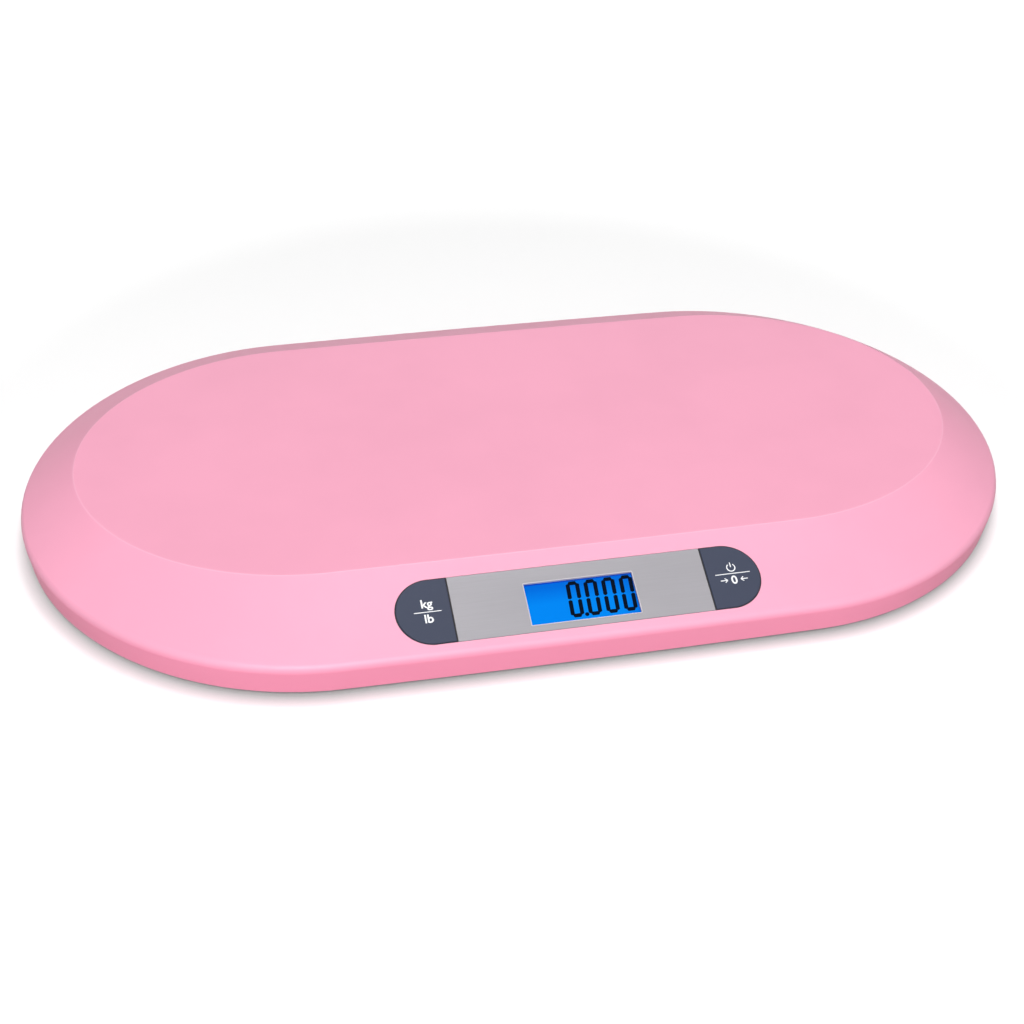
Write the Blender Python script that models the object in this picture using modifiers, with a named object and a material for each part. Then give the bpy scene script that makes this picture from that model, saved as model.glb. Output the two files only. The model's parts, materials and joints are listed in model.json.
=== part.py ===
"""Digital baby scale: a long low platform on four weighing feet, with a sloping display panel.

Units are metres, +Z is up. The origin is on the floor under the middle of the scale,
the length runs along X and the display faces -Y.
"""

import math

import bmesh
import bpy
from mathutils import Matrix, Vector

# Whole scale
OVERALL_LENGTH = 0.560
END_RADIUS = 0.1545
SIDE_BOW = 0.0047
FLOOR_GAP = 0.0040
SHOULDER_RISE = 0.0162
PAN_RISE = 0.0365
SKIRT_DRAFT = 0.0026
SHOULDER_RADIUS = 0.0045
WALL = 0.0025

# Pan and the sloping rim round it
RIM_END = 0.0306
RIM_FRONT = 0.0508
RIM_BACK = 0.0432
PAN_BOW = 0.0020
PAN_EDGE_RADIUS = 0.0020

# Clearances
CLEARANCE = 0.0003
BASE_GAP = 0.0005
OVERRUN = 0.0030

# Display panel on the front slope
PANEL_FROM_PAN = 0.0104
PLATE_LENGTH = 0.1339
PLATE_HEIGHT = 0.0372
PLATE_THICKNESS = 0.0012
PLATE_GAP = 0.0002
SEAT_THICKNESS = 0.0020
SEAT_BORDER = 0.0025
WINDOW_LENGTH = 0.0580
WINDOW_HEIGHT = 0.0250
WINDOW_DROP = 0.0025
LENS_BORDER = 0.0018
LENS_LEDGE = 0.0008

# Liquid crystal display and what carries it
GLASS_BORDER_X = 0.0040
GLASS_BORDER_Y = 0.0041
GLASS_THICKNESS = 0.0022
FRAME_WALL = 0.0016
BACKLIGHT_THICKNESS = 0.0028
BACKLIGHT_MARGIN = 0.0020
STRIP_WIDTH = 0.0022
STRIP_MARGIN = 0.0008
BOARD_DEPTH = 0.0118
BOARD_THICKNESS = 0.0016
BOARD_PAST_SWITCH = 0.0148
BOARD_ABOVE = 0.0190
BOARD_BELOW = 0.0215

# Buttons and their switches
BUTTON_STRAIGHT = 0.0100
BUTTON_PROUD = 0.0003
BUTTON_TOP_WALL = 0.0015
BUTTON_SIDE_WALL = 0.0014
BUTTON_FLANGE = 0.0014
BUTTON_FLANGE_THICKNESS = 0.0010
BUTTON_EDGE_RADIUS = 0.0004
BUTTON_STEM_RADIUS = 0.0025
BUTTON_TRAVEL = 0.0005
HOLE_STEP = 0.00015
SWITCH_WIDTH = 0.0062
SWITCH_HEIGHT = 0.0035
PLUNGER_RADIUS = 0.0016
PLUNGER_RISE = 0.0008
PLUNGER_SINK = 0.0015

# Board posts, screws and parts
POST_RADIUS = 0.0030
POST_X = 0.0520
POST_Y = 0.0140
BOARD_SCREW_RADIUS = 0.0010
BOARD_SCREW_HEAD_RADIUS = 0.0026
BOARD_SCREW_HEAD = 0.0015
BOARD_SCREW_REACH = 0.0050
CHIP_WIDTH = 0.0100
CHIP_THICKNESS = 0.0014
CHIP_PAST_WINDOW = 0.0010

# Base cover
BASE_RECESS = 0.0012
BASE_THICKNESS = 0.0022
BASE_CHAMFER = 0.0008
BASE_LIP_HEIGHT = 0.0036
BASE_LIP_WALL = 0.0020
RIB_THICKNESS = 0.0016
BASE_RIB_HEIGHT = 0.0030
PAN_RIB_HEIGHT = 0.0080
RIB_INSET = 0.0060
PAN_RIB_PITCH_X = 0.0700
PAN_RIB_PITCH_Y = 0.0500
BASE_RIB_PITCH_X = 0.0520

# Screws that join the base cover to the top shell
SCREW_RADIUS = 0.0015
SCREW_HEAD_RADIUS = 0.0032
SCREW_HEAD = 0.0018
SCREW_REACH = 0.0100
SCREW_RECESS = 0.0033
BOSS_RADIUS = 0.0042
BASE_BOSS_RADIUS = 0.0056
BASE_BOSS_HEIGHT = 0.0065
SIDE_SCREW_X = 0.0750
SIDE_SCREW_INSET = 0.0200
END_SCREW_INSET = 0.0350

# Feet and their load cells
FOOT_END_INSET = 0.1325
FOOT_SIDE_INSET = 0.0810
PAD_RADIUS = 0.0145
PAD_THICKNESS = 0.0025
PAD_EDGE = 0.0005
CUP_WALL = 0.0022
CUP_BOTTOM = 0.0010
CUP_EDGE = 0.0008
CUP_FLOOR = 0.0020
CUP_FLANGE = 0.0031
CUP_FLANGE_THICKNESS = 0.0012
CUP_HUB_RADIUS = 0.0060
CUP_HUB_RISE = 0.0014
FOOT_TRAVEL = 0.0004
TRAVEL_SPARE = 0.0001
HOLE_GAP = 0.0008
CELL_WIDTH = 0.0340
CELL_THICKNESS = 0.0020
TONGUE_WIDTH = 0.0120
CELL_SLOT = 0.0020
CELL_BRIDGE = 0.0070
HOLDER_WALL = 0.0032
HOLDER_ROOF = 0.0029
HOLDER_HOLE = 0.0240
TOWER_RADIUS = 0.0180
TOWER_WALL = 0.0020
SEAL_LENGTH = 0.0080
SEAL_WIDTH = 0.0050
SEAL_THICKNESS = 0.0008

# Battery bay
CELL_RADIUS_AAA = 0.00525
CELL_LENGTH_AAA = 0.0445
NUB_RADIUS = 0.0019
NUB_LENGTH = 0.0010
CELL_PITCH = 0.0112
BAY_CENTRE_Y = 0.0500
BAY_SIDE_GAP = 0.0006
BAY_HEAD_GAP = 0.0004
BAY_WALL = 0.0018
DOOR_THICKNESS = 0.0018
DOOR_LAP = 0.0040
DOOR_GAP = 0.0004
DOOR_CORNER = 0.0020
LEDGE_THICKNESS = 0.0020
LEDGE_BORDER = 0.0025
HOOK_WIDTH = 0.0070
HOOK_X = 0.0180
HOOK_THICKNESS = 0.0012
HOOK_REACH = 0.0014
NOTCH_HEIGHT = 0.0040
FINGER_WIDTH = 0.0140
FINGER_LENGTH = 0.0090
FINGER_SLOT = 0.0010
THUMB_RADIUS = 0.0100
THUMB_DEPTH = 0.0012
PLATE_SIZE = 0.0090
CONTACT_THICKNESS = 0.0005
SPRING_LENGTH = 0.0053
SPRING_WIRE = 0.0004
SPRING_BASE_RADIUS = 0.0034
SPRING_TIP_RADIUS = 0.0018

# Leads inside the housing
CELL_LEAD_RADIUS = 0.0013
BATTERY_LEAD_RADIUS = 0.0009
LEAD_RISE = 0.0052
LEAD_NOTCH = 0.0070
LEAD_LEVEL = 0.0140
LEAD_LANE_X = 0.0500
LEAD_BOARD_X = 0.0480
LEAD_BOARD_PITCH = 0.0120
LEAD_BOARD_Y = 0.0110
LEAD_BEND = 0.0100
BATTERY_LEAD_X = 0.0060

# Numbers of steps round curves
END_STEPS = 34
SIDE_STEPS = 10
SHOULDER_STEPS = 3
EDGE_STEPS = 2
ARC_STEPS = 14
ROUND_STEPS = 18
SMALL_STEPS = 12
SPRING_TURNS = 4
SPRING_STEPS = 8
ROUTE_STEPS = 3

# Places worked out from the sizes above
HALF_LENGTH = OVERALL_LENGTH / 2
STRAIGHT = HALF_LENGTH - END_RADIUS
HALF_WIDTH = END_RADIUS + SIDE_BOW
SHOULDER_Z = FLOOR_GAP + SHOULDER_RISE
PAN_Z = FLOOR_GAP + PAN_RISE
PAN_UNDER_Z = PAN_Z - WALL
PAN_HALF_WIDTH = HALF_WIDTH - (RIM_FRONT + RIM_BACK) / 2
PAN_SHIFT = (RIM_FRONT - RIM_BACK) / 2
PAN_END = HALF_LENGTH - RIM_END - STRAIGHT
SLOPE_ANGLE = math.atan2(PAN_RISE - SHOULDER_RISE, RIM_FRONT)

BASE_INSET = SKIRT_DRAFT + WALL + BASE_GAP
BASE_Z = FLOOR_GAP + BASE_RECESS
BASE_TOP_Z = BASE_Z + BASE_THICKNESS
BASE_BOSS_Z = BASE_Z + BASE_BOSS_HEIGHT

SEAT_DEPTH = PLATE_THICKNESS + CLEARANCE
SEAT_UNDER = SEAT_DEPTH + SEAT_THICKNESS
GLASS_DEPTH = SEAT_UNDER + CLEARANCE
BACKLIGHT_DEPTH = GLASS_DEPTH + GLASS_THICKNESS + CLEARANCE
BOARD_UNDER = BOARD_DEPTH + BOARD_THICKNESS
GLASS_HALF_X = WINDOW_LENGTH / 2 + GLASS_BORDER_X
GLASS_HALF_Y = WINDOW_HEIGHT / 2 + GLASS_BORDER_Y

POCKET_RADIUS = PLATE_HEIGHT / 2 + PLATE_GAP
BUTTON_INNER_X = PLATE_LENGTH / 2 + CLEARANCE
BUTTON_CENTRE_X = BUTTON_INNER_X + BUTTON_STRAIGHT
BOARD_HALF_LENGTH = BUTTON_CENTRE_X + BOARD_PAST_SWITCH
BUTTON_HOLE_RADIUS = POCKET_RADIUS - HOLE_STEP
BUTTON_RADIUS = BUTTON_HOLE_RADIUS - CLEARANCE
SWITCH_DEPTH = BOARD_DEPTH - CLEARANCE - SWITCH_HEIGHT
PLUNGER_DEPTH = SWITCH_DEPTH - PLUNGER_RISE
STEM_DEPTH = PLUNGER_DEPTH - CLEARANCE

FOOT_X = HALF_LENGTH - FOOT_END_INSET
FOOT_Y = HALF_WIDTH - FOOT_SIDE_INSET
CUP_RECESS_RADIUS = PAD_RADIUS + CLEARANCE
CUP_RADIUS = CUP_RECESS_RADIUS + CUP_WALL
CUP_RECESS_Z = PAD_THICKNESS + CLEARANCE
CUP_FLANGE_Z = BASE_TOP_Z + CLEARANCE
CUP_TOP_Z = CUP_FLANGE_Z + CUP_FLANGE_THICKNESS
CUP_HUB_Z = CUP_TOP_Z + CUP_HUB_RISE
CELL_Z = CUP_HUB_Z + FOOT_TRAVEL + TRAVEL_SPARE
CELL_TOP_Z = CELL_Z + CELL_THICKNESS
HOLDER_ROOF_Z = CELL_TOP_Z + CLEARANCE
HOLDER_TOP_Z = HOLDER_ROOF_Z + HOLDER_ROOF
HOLDER_Z = CELL_Z - CLEARANCE
TOWER_Z = HOLDER_TOP_Z + CLEARANCE

DOOR_TOP_Z = BASE_Z + DOOR_THICKNESS
LEDGE_Z = DOOR_TOP_Z + CLEARANCE
LEDGE_TOP_Z = LEDGE_Z + LEDGE_THICKNESS
AAA_Z = DOOR_TOP_Z + BAY_HEAD_GAP + CELL_RADIUS_AAA
BAY_CEILING_Z = AAA_Z + CELL_RADIUS_AAA + BAY_HEAD_GAP
BAY_TOP_Z = BAY_CEILING_Z + BAY_WALL
BAY_HALF_Y = CELL_PITCH + CELL_RADIUS_AAA + BAY_SIDE_GAP
CONTACT_HALF_X = (CELL_LENGTH_AAA + SPRING_LENGTH + CLEARANCE * 3) / 2
BAY_HALF_X = CONTACT_HALF_X + CONTACT_THICKNESS + CLEARANCE
DOOR_HALF_X = BAY_HALF_X + DOOR_LAP
DOOR_HALF_Y = BAY_HALF_Y + DOOR_LAP
DOOR_HINGE_Y = BAY_CENTRE_Y + DOOR_HALF_Y

PARTS = "digital_baby_scale"
CUTTERS = "cutters"

# Colour, roughness and metallic value of each finish
FINISHES = {
    "pink_plastic": ((0.93, 0.42, 0.58, 1.0), 0.38, 0.0),
    "white_plastic": ((0.80, 0.80, 0.79, 1.0), 0.50, 0.0),
    "silver_plate": ((0.47, 0.46, 0.49, 1.0), 0.35, 0.9),
    "slate_plastic": ((0.07, 0.09, 0.13, 1.0), 0.45, 0.0),
    "clear_lens": ((0.85, 0.90, 0.95, 1.0), 0.05, 0.0),
    "blue_display": ((0.00, 0.22, 0.90, 1.0), 0.20, 0.0),
    "diffuser": ((0.75, 0.82, 0.95, 1.0), 0.40, 0.0),
    "grey_rubber": ((0.22, 0.22, 0.23, 1.0), 0.85, 0.0),
    "green_board": ((0.02, 0.20, 0.08, 1.0), 0.45, 0.0),
    "black_package": ((0.02, 0.02, 0.02, 1.0), 0.50, 0.0),
    "spring_steel": ((0.55, 0.55, 0.56, 1.0), 0.30, 1.0),
    "cell_steel": ((0.45, 0.46, 0.47, 1.0), 0.35, 1.0),
    "grey_sleeve": ((0.35, 0.35, 0.36, 1.0), 0.55, 0.0),
    "red_sleeve": ((0.60, 0.03, 0.03, 1.0), 0.50, 0.0),
    "black_sleeve": ((0.02, 0.02, 0.02, 1.0), 0.50, 0.0),
    "cell_jacket": ((0.16, 0.30, 0.20, 1.0), 0.40, 0.2),
}


def clear_scene():
    for old in list(bpy.data.objects):
        bpy.data.objects.remove(old, do_unlink=True)


def collection(name):
    found = bpy.data.collections.get(name)
    if found is None:
        found = bpy.data.collections.new(name)
        bpy.context.scene.collection.children.link(found)
    return found


def finish(name):
    found = bpy.data.materials.get(name)
    if found is None:
        colour, roughness, metallic = FINISHES[name]
        found = bpy.data.materials.new(name)
        found.use_nodes = True
        shader = found.node_tree.nodes["Principled BSDF"]
        shader.inputs["Base Color"].default_value = colour
        shader.inputs["Roughness"].default_value = roughness
        shader.inputs["Metallic"].default_value = metallic
        found.diffuse_color = colour
    return found


def add_part(name, data, material, place=None):
    """Link a finished sub-part with its own material and its place in the scale."""
    part = bpy.data.objects.new(name, data)
    own = finish(material).copy()
    own.name = name + "_finish"
    data.materials.clear()
    data.materials.append(own)
    if place is not None:
        part.matrix_world = place
    collection(PARTS).objects.link(part)
    return part


def add_cutter(name, data, place=None):
    cutter = bpy.data.objects.new(name, data)
    cutter.hide_render = True
    cutter.display_type = "WIRE"
    if place is not None:
        cutter.matrix_world = place
    collection(CUTTERS).objects.link(cutter)
    return cutter


def combine(part, operand, operation):
    step = part.modifiers.new(operand.name, "BOOLEAN")
    step.operation = operation
    step.solver = "EXACT"
    step.object = operand


def as_mesh(name, shape, smooth=False):
    bmesh.ops.recalc_face_normals(shape, faces=shape.faces)
    mesh = bpy.data.meshes.new(name)
    shape.to_mesh(mesh)
    shape.free()
    if smooth:
        mesh.shade_smooth()
        mesh.set_sharp_from_angle(angle=math.radians(35))
    return mesh


def rectangle(half_x, half_y, x=0.0, y=0.0):
    return [(x - half_x, y - half_y), (x + half_x, y - half_y), (x + half_x, y + half_y), (x - half_x, y + half_y)]


def arc(x, y, radius, start, end, steps):
    points = []
    for step in range(steps + 1):
        angle = math.radians(start + (end - start) * step / steps)
        points.append((x + radius * math.cos(angle), y + radius * math.sin(angle)))
    return points


def rounded_rectangle(half_x, half_y, radius, steps=3):
    x, y = half_x - radius, half_y - radius
    points = arc(x, y, radius, 0, 90, steps) + arc(-x, y, radius, 90, 180, steps)
    return points + arc(-x, -y, radius, 180, 270, steps) + arc(x, -y, radius, 270, 360, steps)


def stadium(half_straight, radius):
    right = arc(half_straight, 0.0, radius, -90, 90, ARC_STEPS)
    return right + arc(-half_straight, 0.0, radius, 90, 270, ARC_STEPS)


def button_outline(side, grow):
    """One end of the panel: a short straight and a half round, grown or shrunk all round."""
    inner = BUTTON_INNER_X - BUTTON_CENTRE_X - grow
    points = [(inner, -BUTTON_RADIUS - grow)]
    points += arc(0.0, 0.0, BUTTON_RADIUS + grow, -90, 90, ARC_STEPS)
    points.append((inner, BUTTON_RADIUS + grow))
    return [(side * x, y) for x, y in points]


def add_loft(shape, rings, closed=False):
    """Skin a list of rings with equal counts of points. Ends are capped unless the skin closes on itself."""
    levels = [[shape.verts.new(point) for point in ring] for ring in rings]
    pairs = list(zip(levels, levels[1:]))
    if closed:
        pairs.append((levels[-1], levels[0]))
    else:
        shape.faces.new(levels[0])
        shape.faces.new(levels[-1])
    for lower, upper in pairs:
        count = len(lower)
        for index in range(count):
            following = (index + 1) % count
            shape.faces.new((lower[index], lower[following], upper[following], upper[index]))


def level(outline, z):
    return [Vector((x, y, z)) for x, y in outline]


def add_prism(shape, outline, bottom, top):
    add_loft(shape, [level(outline, bottom), level(outline, top)])


def add_block(shape, low, high):
    centre = [(a + b) / 2 for a, b in zip(low, high)]
    size = [b - a for a, b in zip(low, high)]
    place = Matrix.Translation(centre) @ Matrix.Diagonal((*size, 1.0))
    bmesh.ops.create_cube(shape, size=1.0, matrix=place)


def add_rod(shape, x, y, radius, bottom, top, steps=SMALL_STEPS):
    place = Matrix.Translation((x, y, (bottom + top) / 2))
    bmesh.ops.create_cone(
        shape, cap_ends=True, segments=steps, radius1=radius, radius2=radius, depth=top - bottom, matrix=place
    )


def turned(name, profile, steps, material, place=None):
    """Turn a profile about Z. It runs from the axis at the top, down the outer side, to the axis."""
    mesh = bpy.data.meshes.new(name)
    edges = [(index, index + 1) for index in range(len(profile) - 1)]
    mesh.from_pydata([(radius, 0.0, z) for radius, z in profile], edges, [])
    part = add_part(name, mesh, material, place)
    turn = part.modifiers.new("Turn", "SCREW")
    turn.steps = steps
    turn.render_steps = steps
    turn.use_merge_vertices = True
    turn.merge_threshold = 0.00001
    turn.use_smooth_shade = True
    return part


def rim_outline(end_length, half_width, bow, shift):
    """Points of one level round the scale: half-round ends and slightly bowed long sides."""
    points = []
    for side in (1, -1):
        for step in range(END_STEPS + 1):
            angle = math.radians(-90 + 180 * step / END_STEPS)
            points.append((side * (STRAIGHT + end_length * math.cos(angle)), side * half_width * math.sin(angle)))
        for step in range(1, SIDE_STEPS):
            points.append((side * STRAIGHT * (1 - 2 * step / SIDE_STEPS), side * half_width))
    reach = STRAIGHT + end_length
    swell = bow / half_width
    return [(x, y * (1 + swell * (1 - (x / reach) ** 2)) + shift) for x, y in points]


def outer_outline(inset):
    return rim_outline(END_RADIUS - inset, END_RADIUS - inset, SIDE_BOW, 0.0)


def pan_outline():
    return rim_outline(PAN_END, PAN_HALF_WIDTH - PAN_BOW, PAN_BOW, PAN_SHIFT)


def pan_reach(x):
    """Half width of the pan at a distance x from the middle."""
    past = max(abs(x) - STRAIGHT, 0.0) / PAN_END
    return (PAN_HALF_WIDTH - PAN_BOW) * math.sqrt(max(1 - past * past, 0.0))


def rounded_corner(corner, first, second, radius, steps):
    """Points of a fillet at a corner between the directions of two neighbouring points."""
    one = (first - corner).normalized()
    two = (second - corner).normalized()
    half = one.angle(two) / 2
    centre = corner + (one + two).normalized() * radius / math.sin(half)
    start = corner + one * radius / math.tan(half) - centre
    end = corner + two * radius / math.tan(half) - centre
    return [centre + start.slerp(end, step / steps) * radius for step in range(steps + 1)]


def panel_place(x=0.0, y=0.0):
    """Place on the front slope: X along the scale, Y up the slope, Z out of it."""
    down = PANEL_FROM_PAN + PLATE_HEIGHT / 2
    edge_y = RIM_FRONT - HALF_WIDTH
    centre = Vector((0.0, edge_y - down * math.cos(SLOPE_ANGLE), PAN_Z - down * math.sin(SLOPE_ANGLE)))
    turn = Matrix.Rotation(SLOPE_ANGLE, 4, "X")
    return Matrix.Translation(centre) @ turn @ Matrix.Translation((x, y, 0.0))


def foot_places():
    for end, x in (("left", -FOOT_X), ("right", FOOT_X)):
        for side, y in (("front", -FOOT_Y), ("back", FOOT_Y)):
            yield side + "_" + end, x, y


def screw_places():
    side_y = PAN_HALF_WIDTH - SIDE_SCREW_INSET
    end_x = HALF_LENGTH - RIM_END - END_SCREW_INSET
    for x in (-SIDE_SCREW_X, SIDE_SCREW_X):
        for y in (-side_y, side_y):
            yield x, y + PAN_SHIFT
    for x in (-end_x, end_x):
        yield x, PAN_SHIFT


def shell_skin():
    """The moulded skin of the top shell: skirt, shoulder fillet, slope and flat pan, with its inner face."""
    bottom = level(outer_outline(SKIRT_DRAFT), FLOOR_GAP)
    shoulder = level(outer_outline(0.0), SHOULDER_Z)
    edge = level(pan_outline(), PAN_Z)
    columns = []
    for low, outer, pan in zip(bottom, shoulder, edge):
        inward = Vector((pan.x - outer.x, pan.y - outer.y, 0.0)).normalized()
        tilt = math.atan2(pan.z - outer.z, (pan.xy - outer.xy).length)
        column = [low]
        column += rounded_corner(outer, low, pan, SHOULDER_RADIUS, SHOULDER_STEPS)
        column += rounded_corner(pan, outer, pan + inward, PAN_EDGE_RADIUS, EDGE_STEPS)
        drop = Vector((0.0, 0.0, WALL * math.tan((math.pi / 2 - tilt) / 2)))
        inner_skirt = [low + inward * WALL, outer + inward * WALL - drop]
        inner_pan = pan + inward * WALL * math.tan(tilt / 2) - Vector((0.0, 0.0, WALL))
        columns.append((column, inner_skirt + [inner_pan]))
    shape = bmesh.new()
    outside = [[column[0][row] for column in columns] for row in range(len(columns[0][0]))]
    inside = [[column[1][row] for column in columns] for row in range(len(columns[0][1]))]
    add_loft(shape, outside[::-1] + inside)
    return as_mesh("top_shell", shape, smooth=True)


def shell_posts():
    """Screw bosses and load towers that hang from the pan."""
    shape = bmesh.new()
    buried = PAN_Z - WALL / 2
    for x, y in screw_places():
        add_rod(shape, x, y, BOSS_RADIUS, BASE_BOSS_Z + CLEARANCE, buried)
    for name, x, y in foot_places():
        outer = arc(x, y, TOWER_RADIUS, 0, 360 - 360 / ROUND_STEPS, ROUND_STEPS - 1)
        inner = arc(x, y, TOWER_RADIUS - TOWER_WALL, 0, 360 - 360 / ROUND_STEPS, ROUND_STEPS - 1)
        rings = [level(outer, TOWER_Z), level(outer, buried), level(inner, buried), level(inner, TOWER_Z)]
        add_loft(shape, rings, closed=True)
    return as_mesh("shell_posts", shape)


def pan_ribs(along_x):
    """Stiffening ribs under the pan, crossing the other set."""
    shape = bmesh.new()
    low, high = PAN_UNDER_Z - PAN_RIB_HEIGHT, PAN_Z - WALL / 2
    half = RIB_THICKNESS / 2
    if along_x:
        for step in (-1, 0, 1):
            y = step * PAN_RIB_PITCH_Y
            reach = HALF_LENGTH - RIM_END - END_SCREW_INSET - BOSS_RADIUS - RIB_INSET
            add_block(shape, (-reach, y + PAN_SHIFT - half, low), (reach, y + PAN_SHIFT + half, high))
    else:
        for step in (-2, -1, 0, 1, 2):
            x = step * PAN_RIB_PITCH_X
            reach = pan_reach(x) - RIB_INSET
            add_block(shape, (x - half, PAN_SHIFT - reach, low), (x + half, PAN_SHIFT + reach, high))
    return as_mesh("pan_ribs", shape)


def window_rectangle(border):
    return rectangle(WINDOW_LENGTH / 2 + border, WINDOW_HEIGHT / 2 + border, 0.0, -WINDOW_DROP)


def top_shell():
    shell = add_part("top_shell", shell_skin(), "pink_plastic")
    combine(shell, add_cutter("shell_posts", shell_posts()), "UNION")
    combine(shell, add_cutter("long_pan_ribs", pan_ribs(True)), "UNION")
    combine(shell, add_cutter("cross_pan_ribs", pan_ribs(False)), "UNION")

    place = panel_place()
    shape = bmesh.new()
    add_prism(shape, stadium(BUTTON_CENTRE_X, POCKET_RADIUS + SEAT_BORDER), -SEAT_UNDER, -SEAT_DEPTH)
    combine(shell, add_cutter("panel_seat", as_mesh("panel_seat", shape), place), "UNION")
    shape = bmesh.new()
    for x in (-POST_X, POST_X):
        for y in (-POST_Y, POST_Y):
            add_rod(shape, x, y, POST_RADIUS, CLEARANCE - BOARD_DEPTH, -SEAT_DEPTH - SEAT_THICKNESS / 2)
    combine(shell, add_cutter("board_posts", as_mesh("board_posts", shape), place), "UNION")

    shape = bmesh.new()
    add_prism(shape, stadium(BUTTON_CENTRE_X, POCKET_RADIUS), -SEAT_DEPTH, OVERRUN)
    combine(shell, add_cutter("panel_pocket", as_mesh("panel_pocket", shape), place), "DIFFERENCE")
    shape = bmesh.new()
    add_prism(shape, window_rectangle(LENS_BORDER), LENS_LEDGE - SEAT_UNDER, 0.0)
    for side in (-1, 1):
        outline = [(side * BUTTON_CENTRE_X + x, y) for x, y in button_outline(side, CLEARANCE)]
        add_prism(shape, outline, -SEAT_UNDER - OVERRUN, OVERRUN)
    combine(shell, add_cutter("seat_holes", as_mesh("seat_holes", shape), place), "DIFFERENCE")
    shape = bmesh.new()
    add_prism(shape, window_rectangle(LENS_BORDER - LENS_LEDGE), -SEAT_UNDER - OVERRUN, 0.0)
    for x in (-POST_X, POST_X):
        for y in (-POST_Y, POST_Y):
            add_rod(shape, x, y, BOARD_SCREW_RADIUS + CLEARANCE, -BOARD_DEPTH - OVERRUN, screw_tip() + CLEARANCE)
    combine(shell, add_cutter("window_hole", as_mesh("window_hole", shape), place), "DIFFERENCE")

    shape = bmesh.new()
    for x, y in screw_places():
        tip = BASE_BOSS_Z + SCREW_REACH + CLEARANCE
        add_rod(shape, x, y, SCREW_RADIUS + CLEARANCE, BASE_BOSS_Z - OVERRUN, tip)
    for name, x, y in foot_places():
        inner_x = x - math.copysign(TOWER_RADIUS, x)
        low = (inner_x - TOWER_WALL * 2, y - LEAD_NOTCH / 2, TOWER_Z - OVERRUN)
        high = (inner_x + TOWER_WALL * 2, y + LEAD_NOTCH / 2, TOWER_Z + LEAD_RISE)
        add_block(shape, low, high)
    combine(shell, add_cutter("shell_holes", as_mesh("shell_holes", shape)), "DIFFERENCE")


def screw_tip():
    """Height of a board screw's tip in the panel's own frame."""
    return BOARD_SCREW_REACH - BOARD_DEPTH


def display_panel():
    place = panel_place()
    outer = rectangle(PLATE_LENGTH / 2, PLATE_HEIGHT / 2)
    inner = window_rectangle(0.0)
    shape = bmesh.new()
    rings = [level(outer, -PLATE_THICKNESS), level(outer, 0.0), level(inner, 0.0), level(inner, -PLATE_THICKNESS)]
    add_loft(shape, rings, closed=True)
    add_part("display_plate", as_mesh("display_plate", shape), "silver_plate", place)

    shape = bmesh.new()
    lens = window_rectangle(LENS_BORDER - CLEARANCE)
    add_prism(shape, lens, LENS_LEDGE + CLEARANCE - SEAT_UNDER, -SEAT_DEPTH)
    add_part("display_window", as_mesh("display_window", shape), "clear_lens", place)

    shape = bmesh.new()
    glass = rectangle(GLASS_HALF_X, GLASS_HALF_Y, 0.0, -WINDOW_DROP)
    add_prism(shape, glass, -GLASS_DEPTH - GLASS_THICKNESS, -GLASS_DEPTH)
    add_part("lcd_glass", as_mesh("lcd_glass", shape), "blue_display", place)

    shape = bmesh.new()
    inner = rectangle(GLASS_HALF_X + CLEARANCE, GLASS_HALF_Y + CLEARANCE, 0.0, -WINDOW_DROP)
    wall = CLEARANCE + FRAME_WALL
    outer = rectangle(GLASS_HALF_X + wall, GLASS_HALF_Y + wall, 0.0, -WINDOW_DROP)
    low = CLEARANCE - BOARD_DEPTH
    rings = [level(outer, low), level(outer, -GLASS_DEPTH), level(inner, -GLASS_DEPTH), level(inner, low)]
    add_loft(shape, rings, closed=True)
    add_part("lcd_frame", as_mesh("lcd_frame", shape), "white_plastic", place)

    glass_top = GLASS_HALF_Y - WINDOW_DROP
    strip_top = glass_top - STRIP_MARGIN
    shape = bmesh.new()
    half = GLASS_HALF_X - BACKLIGHT_MARGIN
    add_block(shape, (-half, strip_top - STRIP_WIDTH, low), (half, strip_top, -BACKLIGHT_DEPTH))
    add_part("contact_strip", as_mesh("contact_strip", shape), "grey_rubber", place)

    shape = bmesh.new()
    light_top = strip_top - STRIP_WIDTH - STRIP_MARGIN
    light_low = BACKLIGHT_MARGIN / 2 - GLASS_HALF_Y - WINDOW_DROP
    add_block(
        shape, (-half, light_low, -BACKLIGHT_DEPTH - BACKLIGHT_THICKNESS), (half, light_top, -BACKLIGHT_DEPTH)
    )
    add_part("lcd_backlight", as_mesh("lcd_backlight", shape), "diffuser", place)


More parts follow.
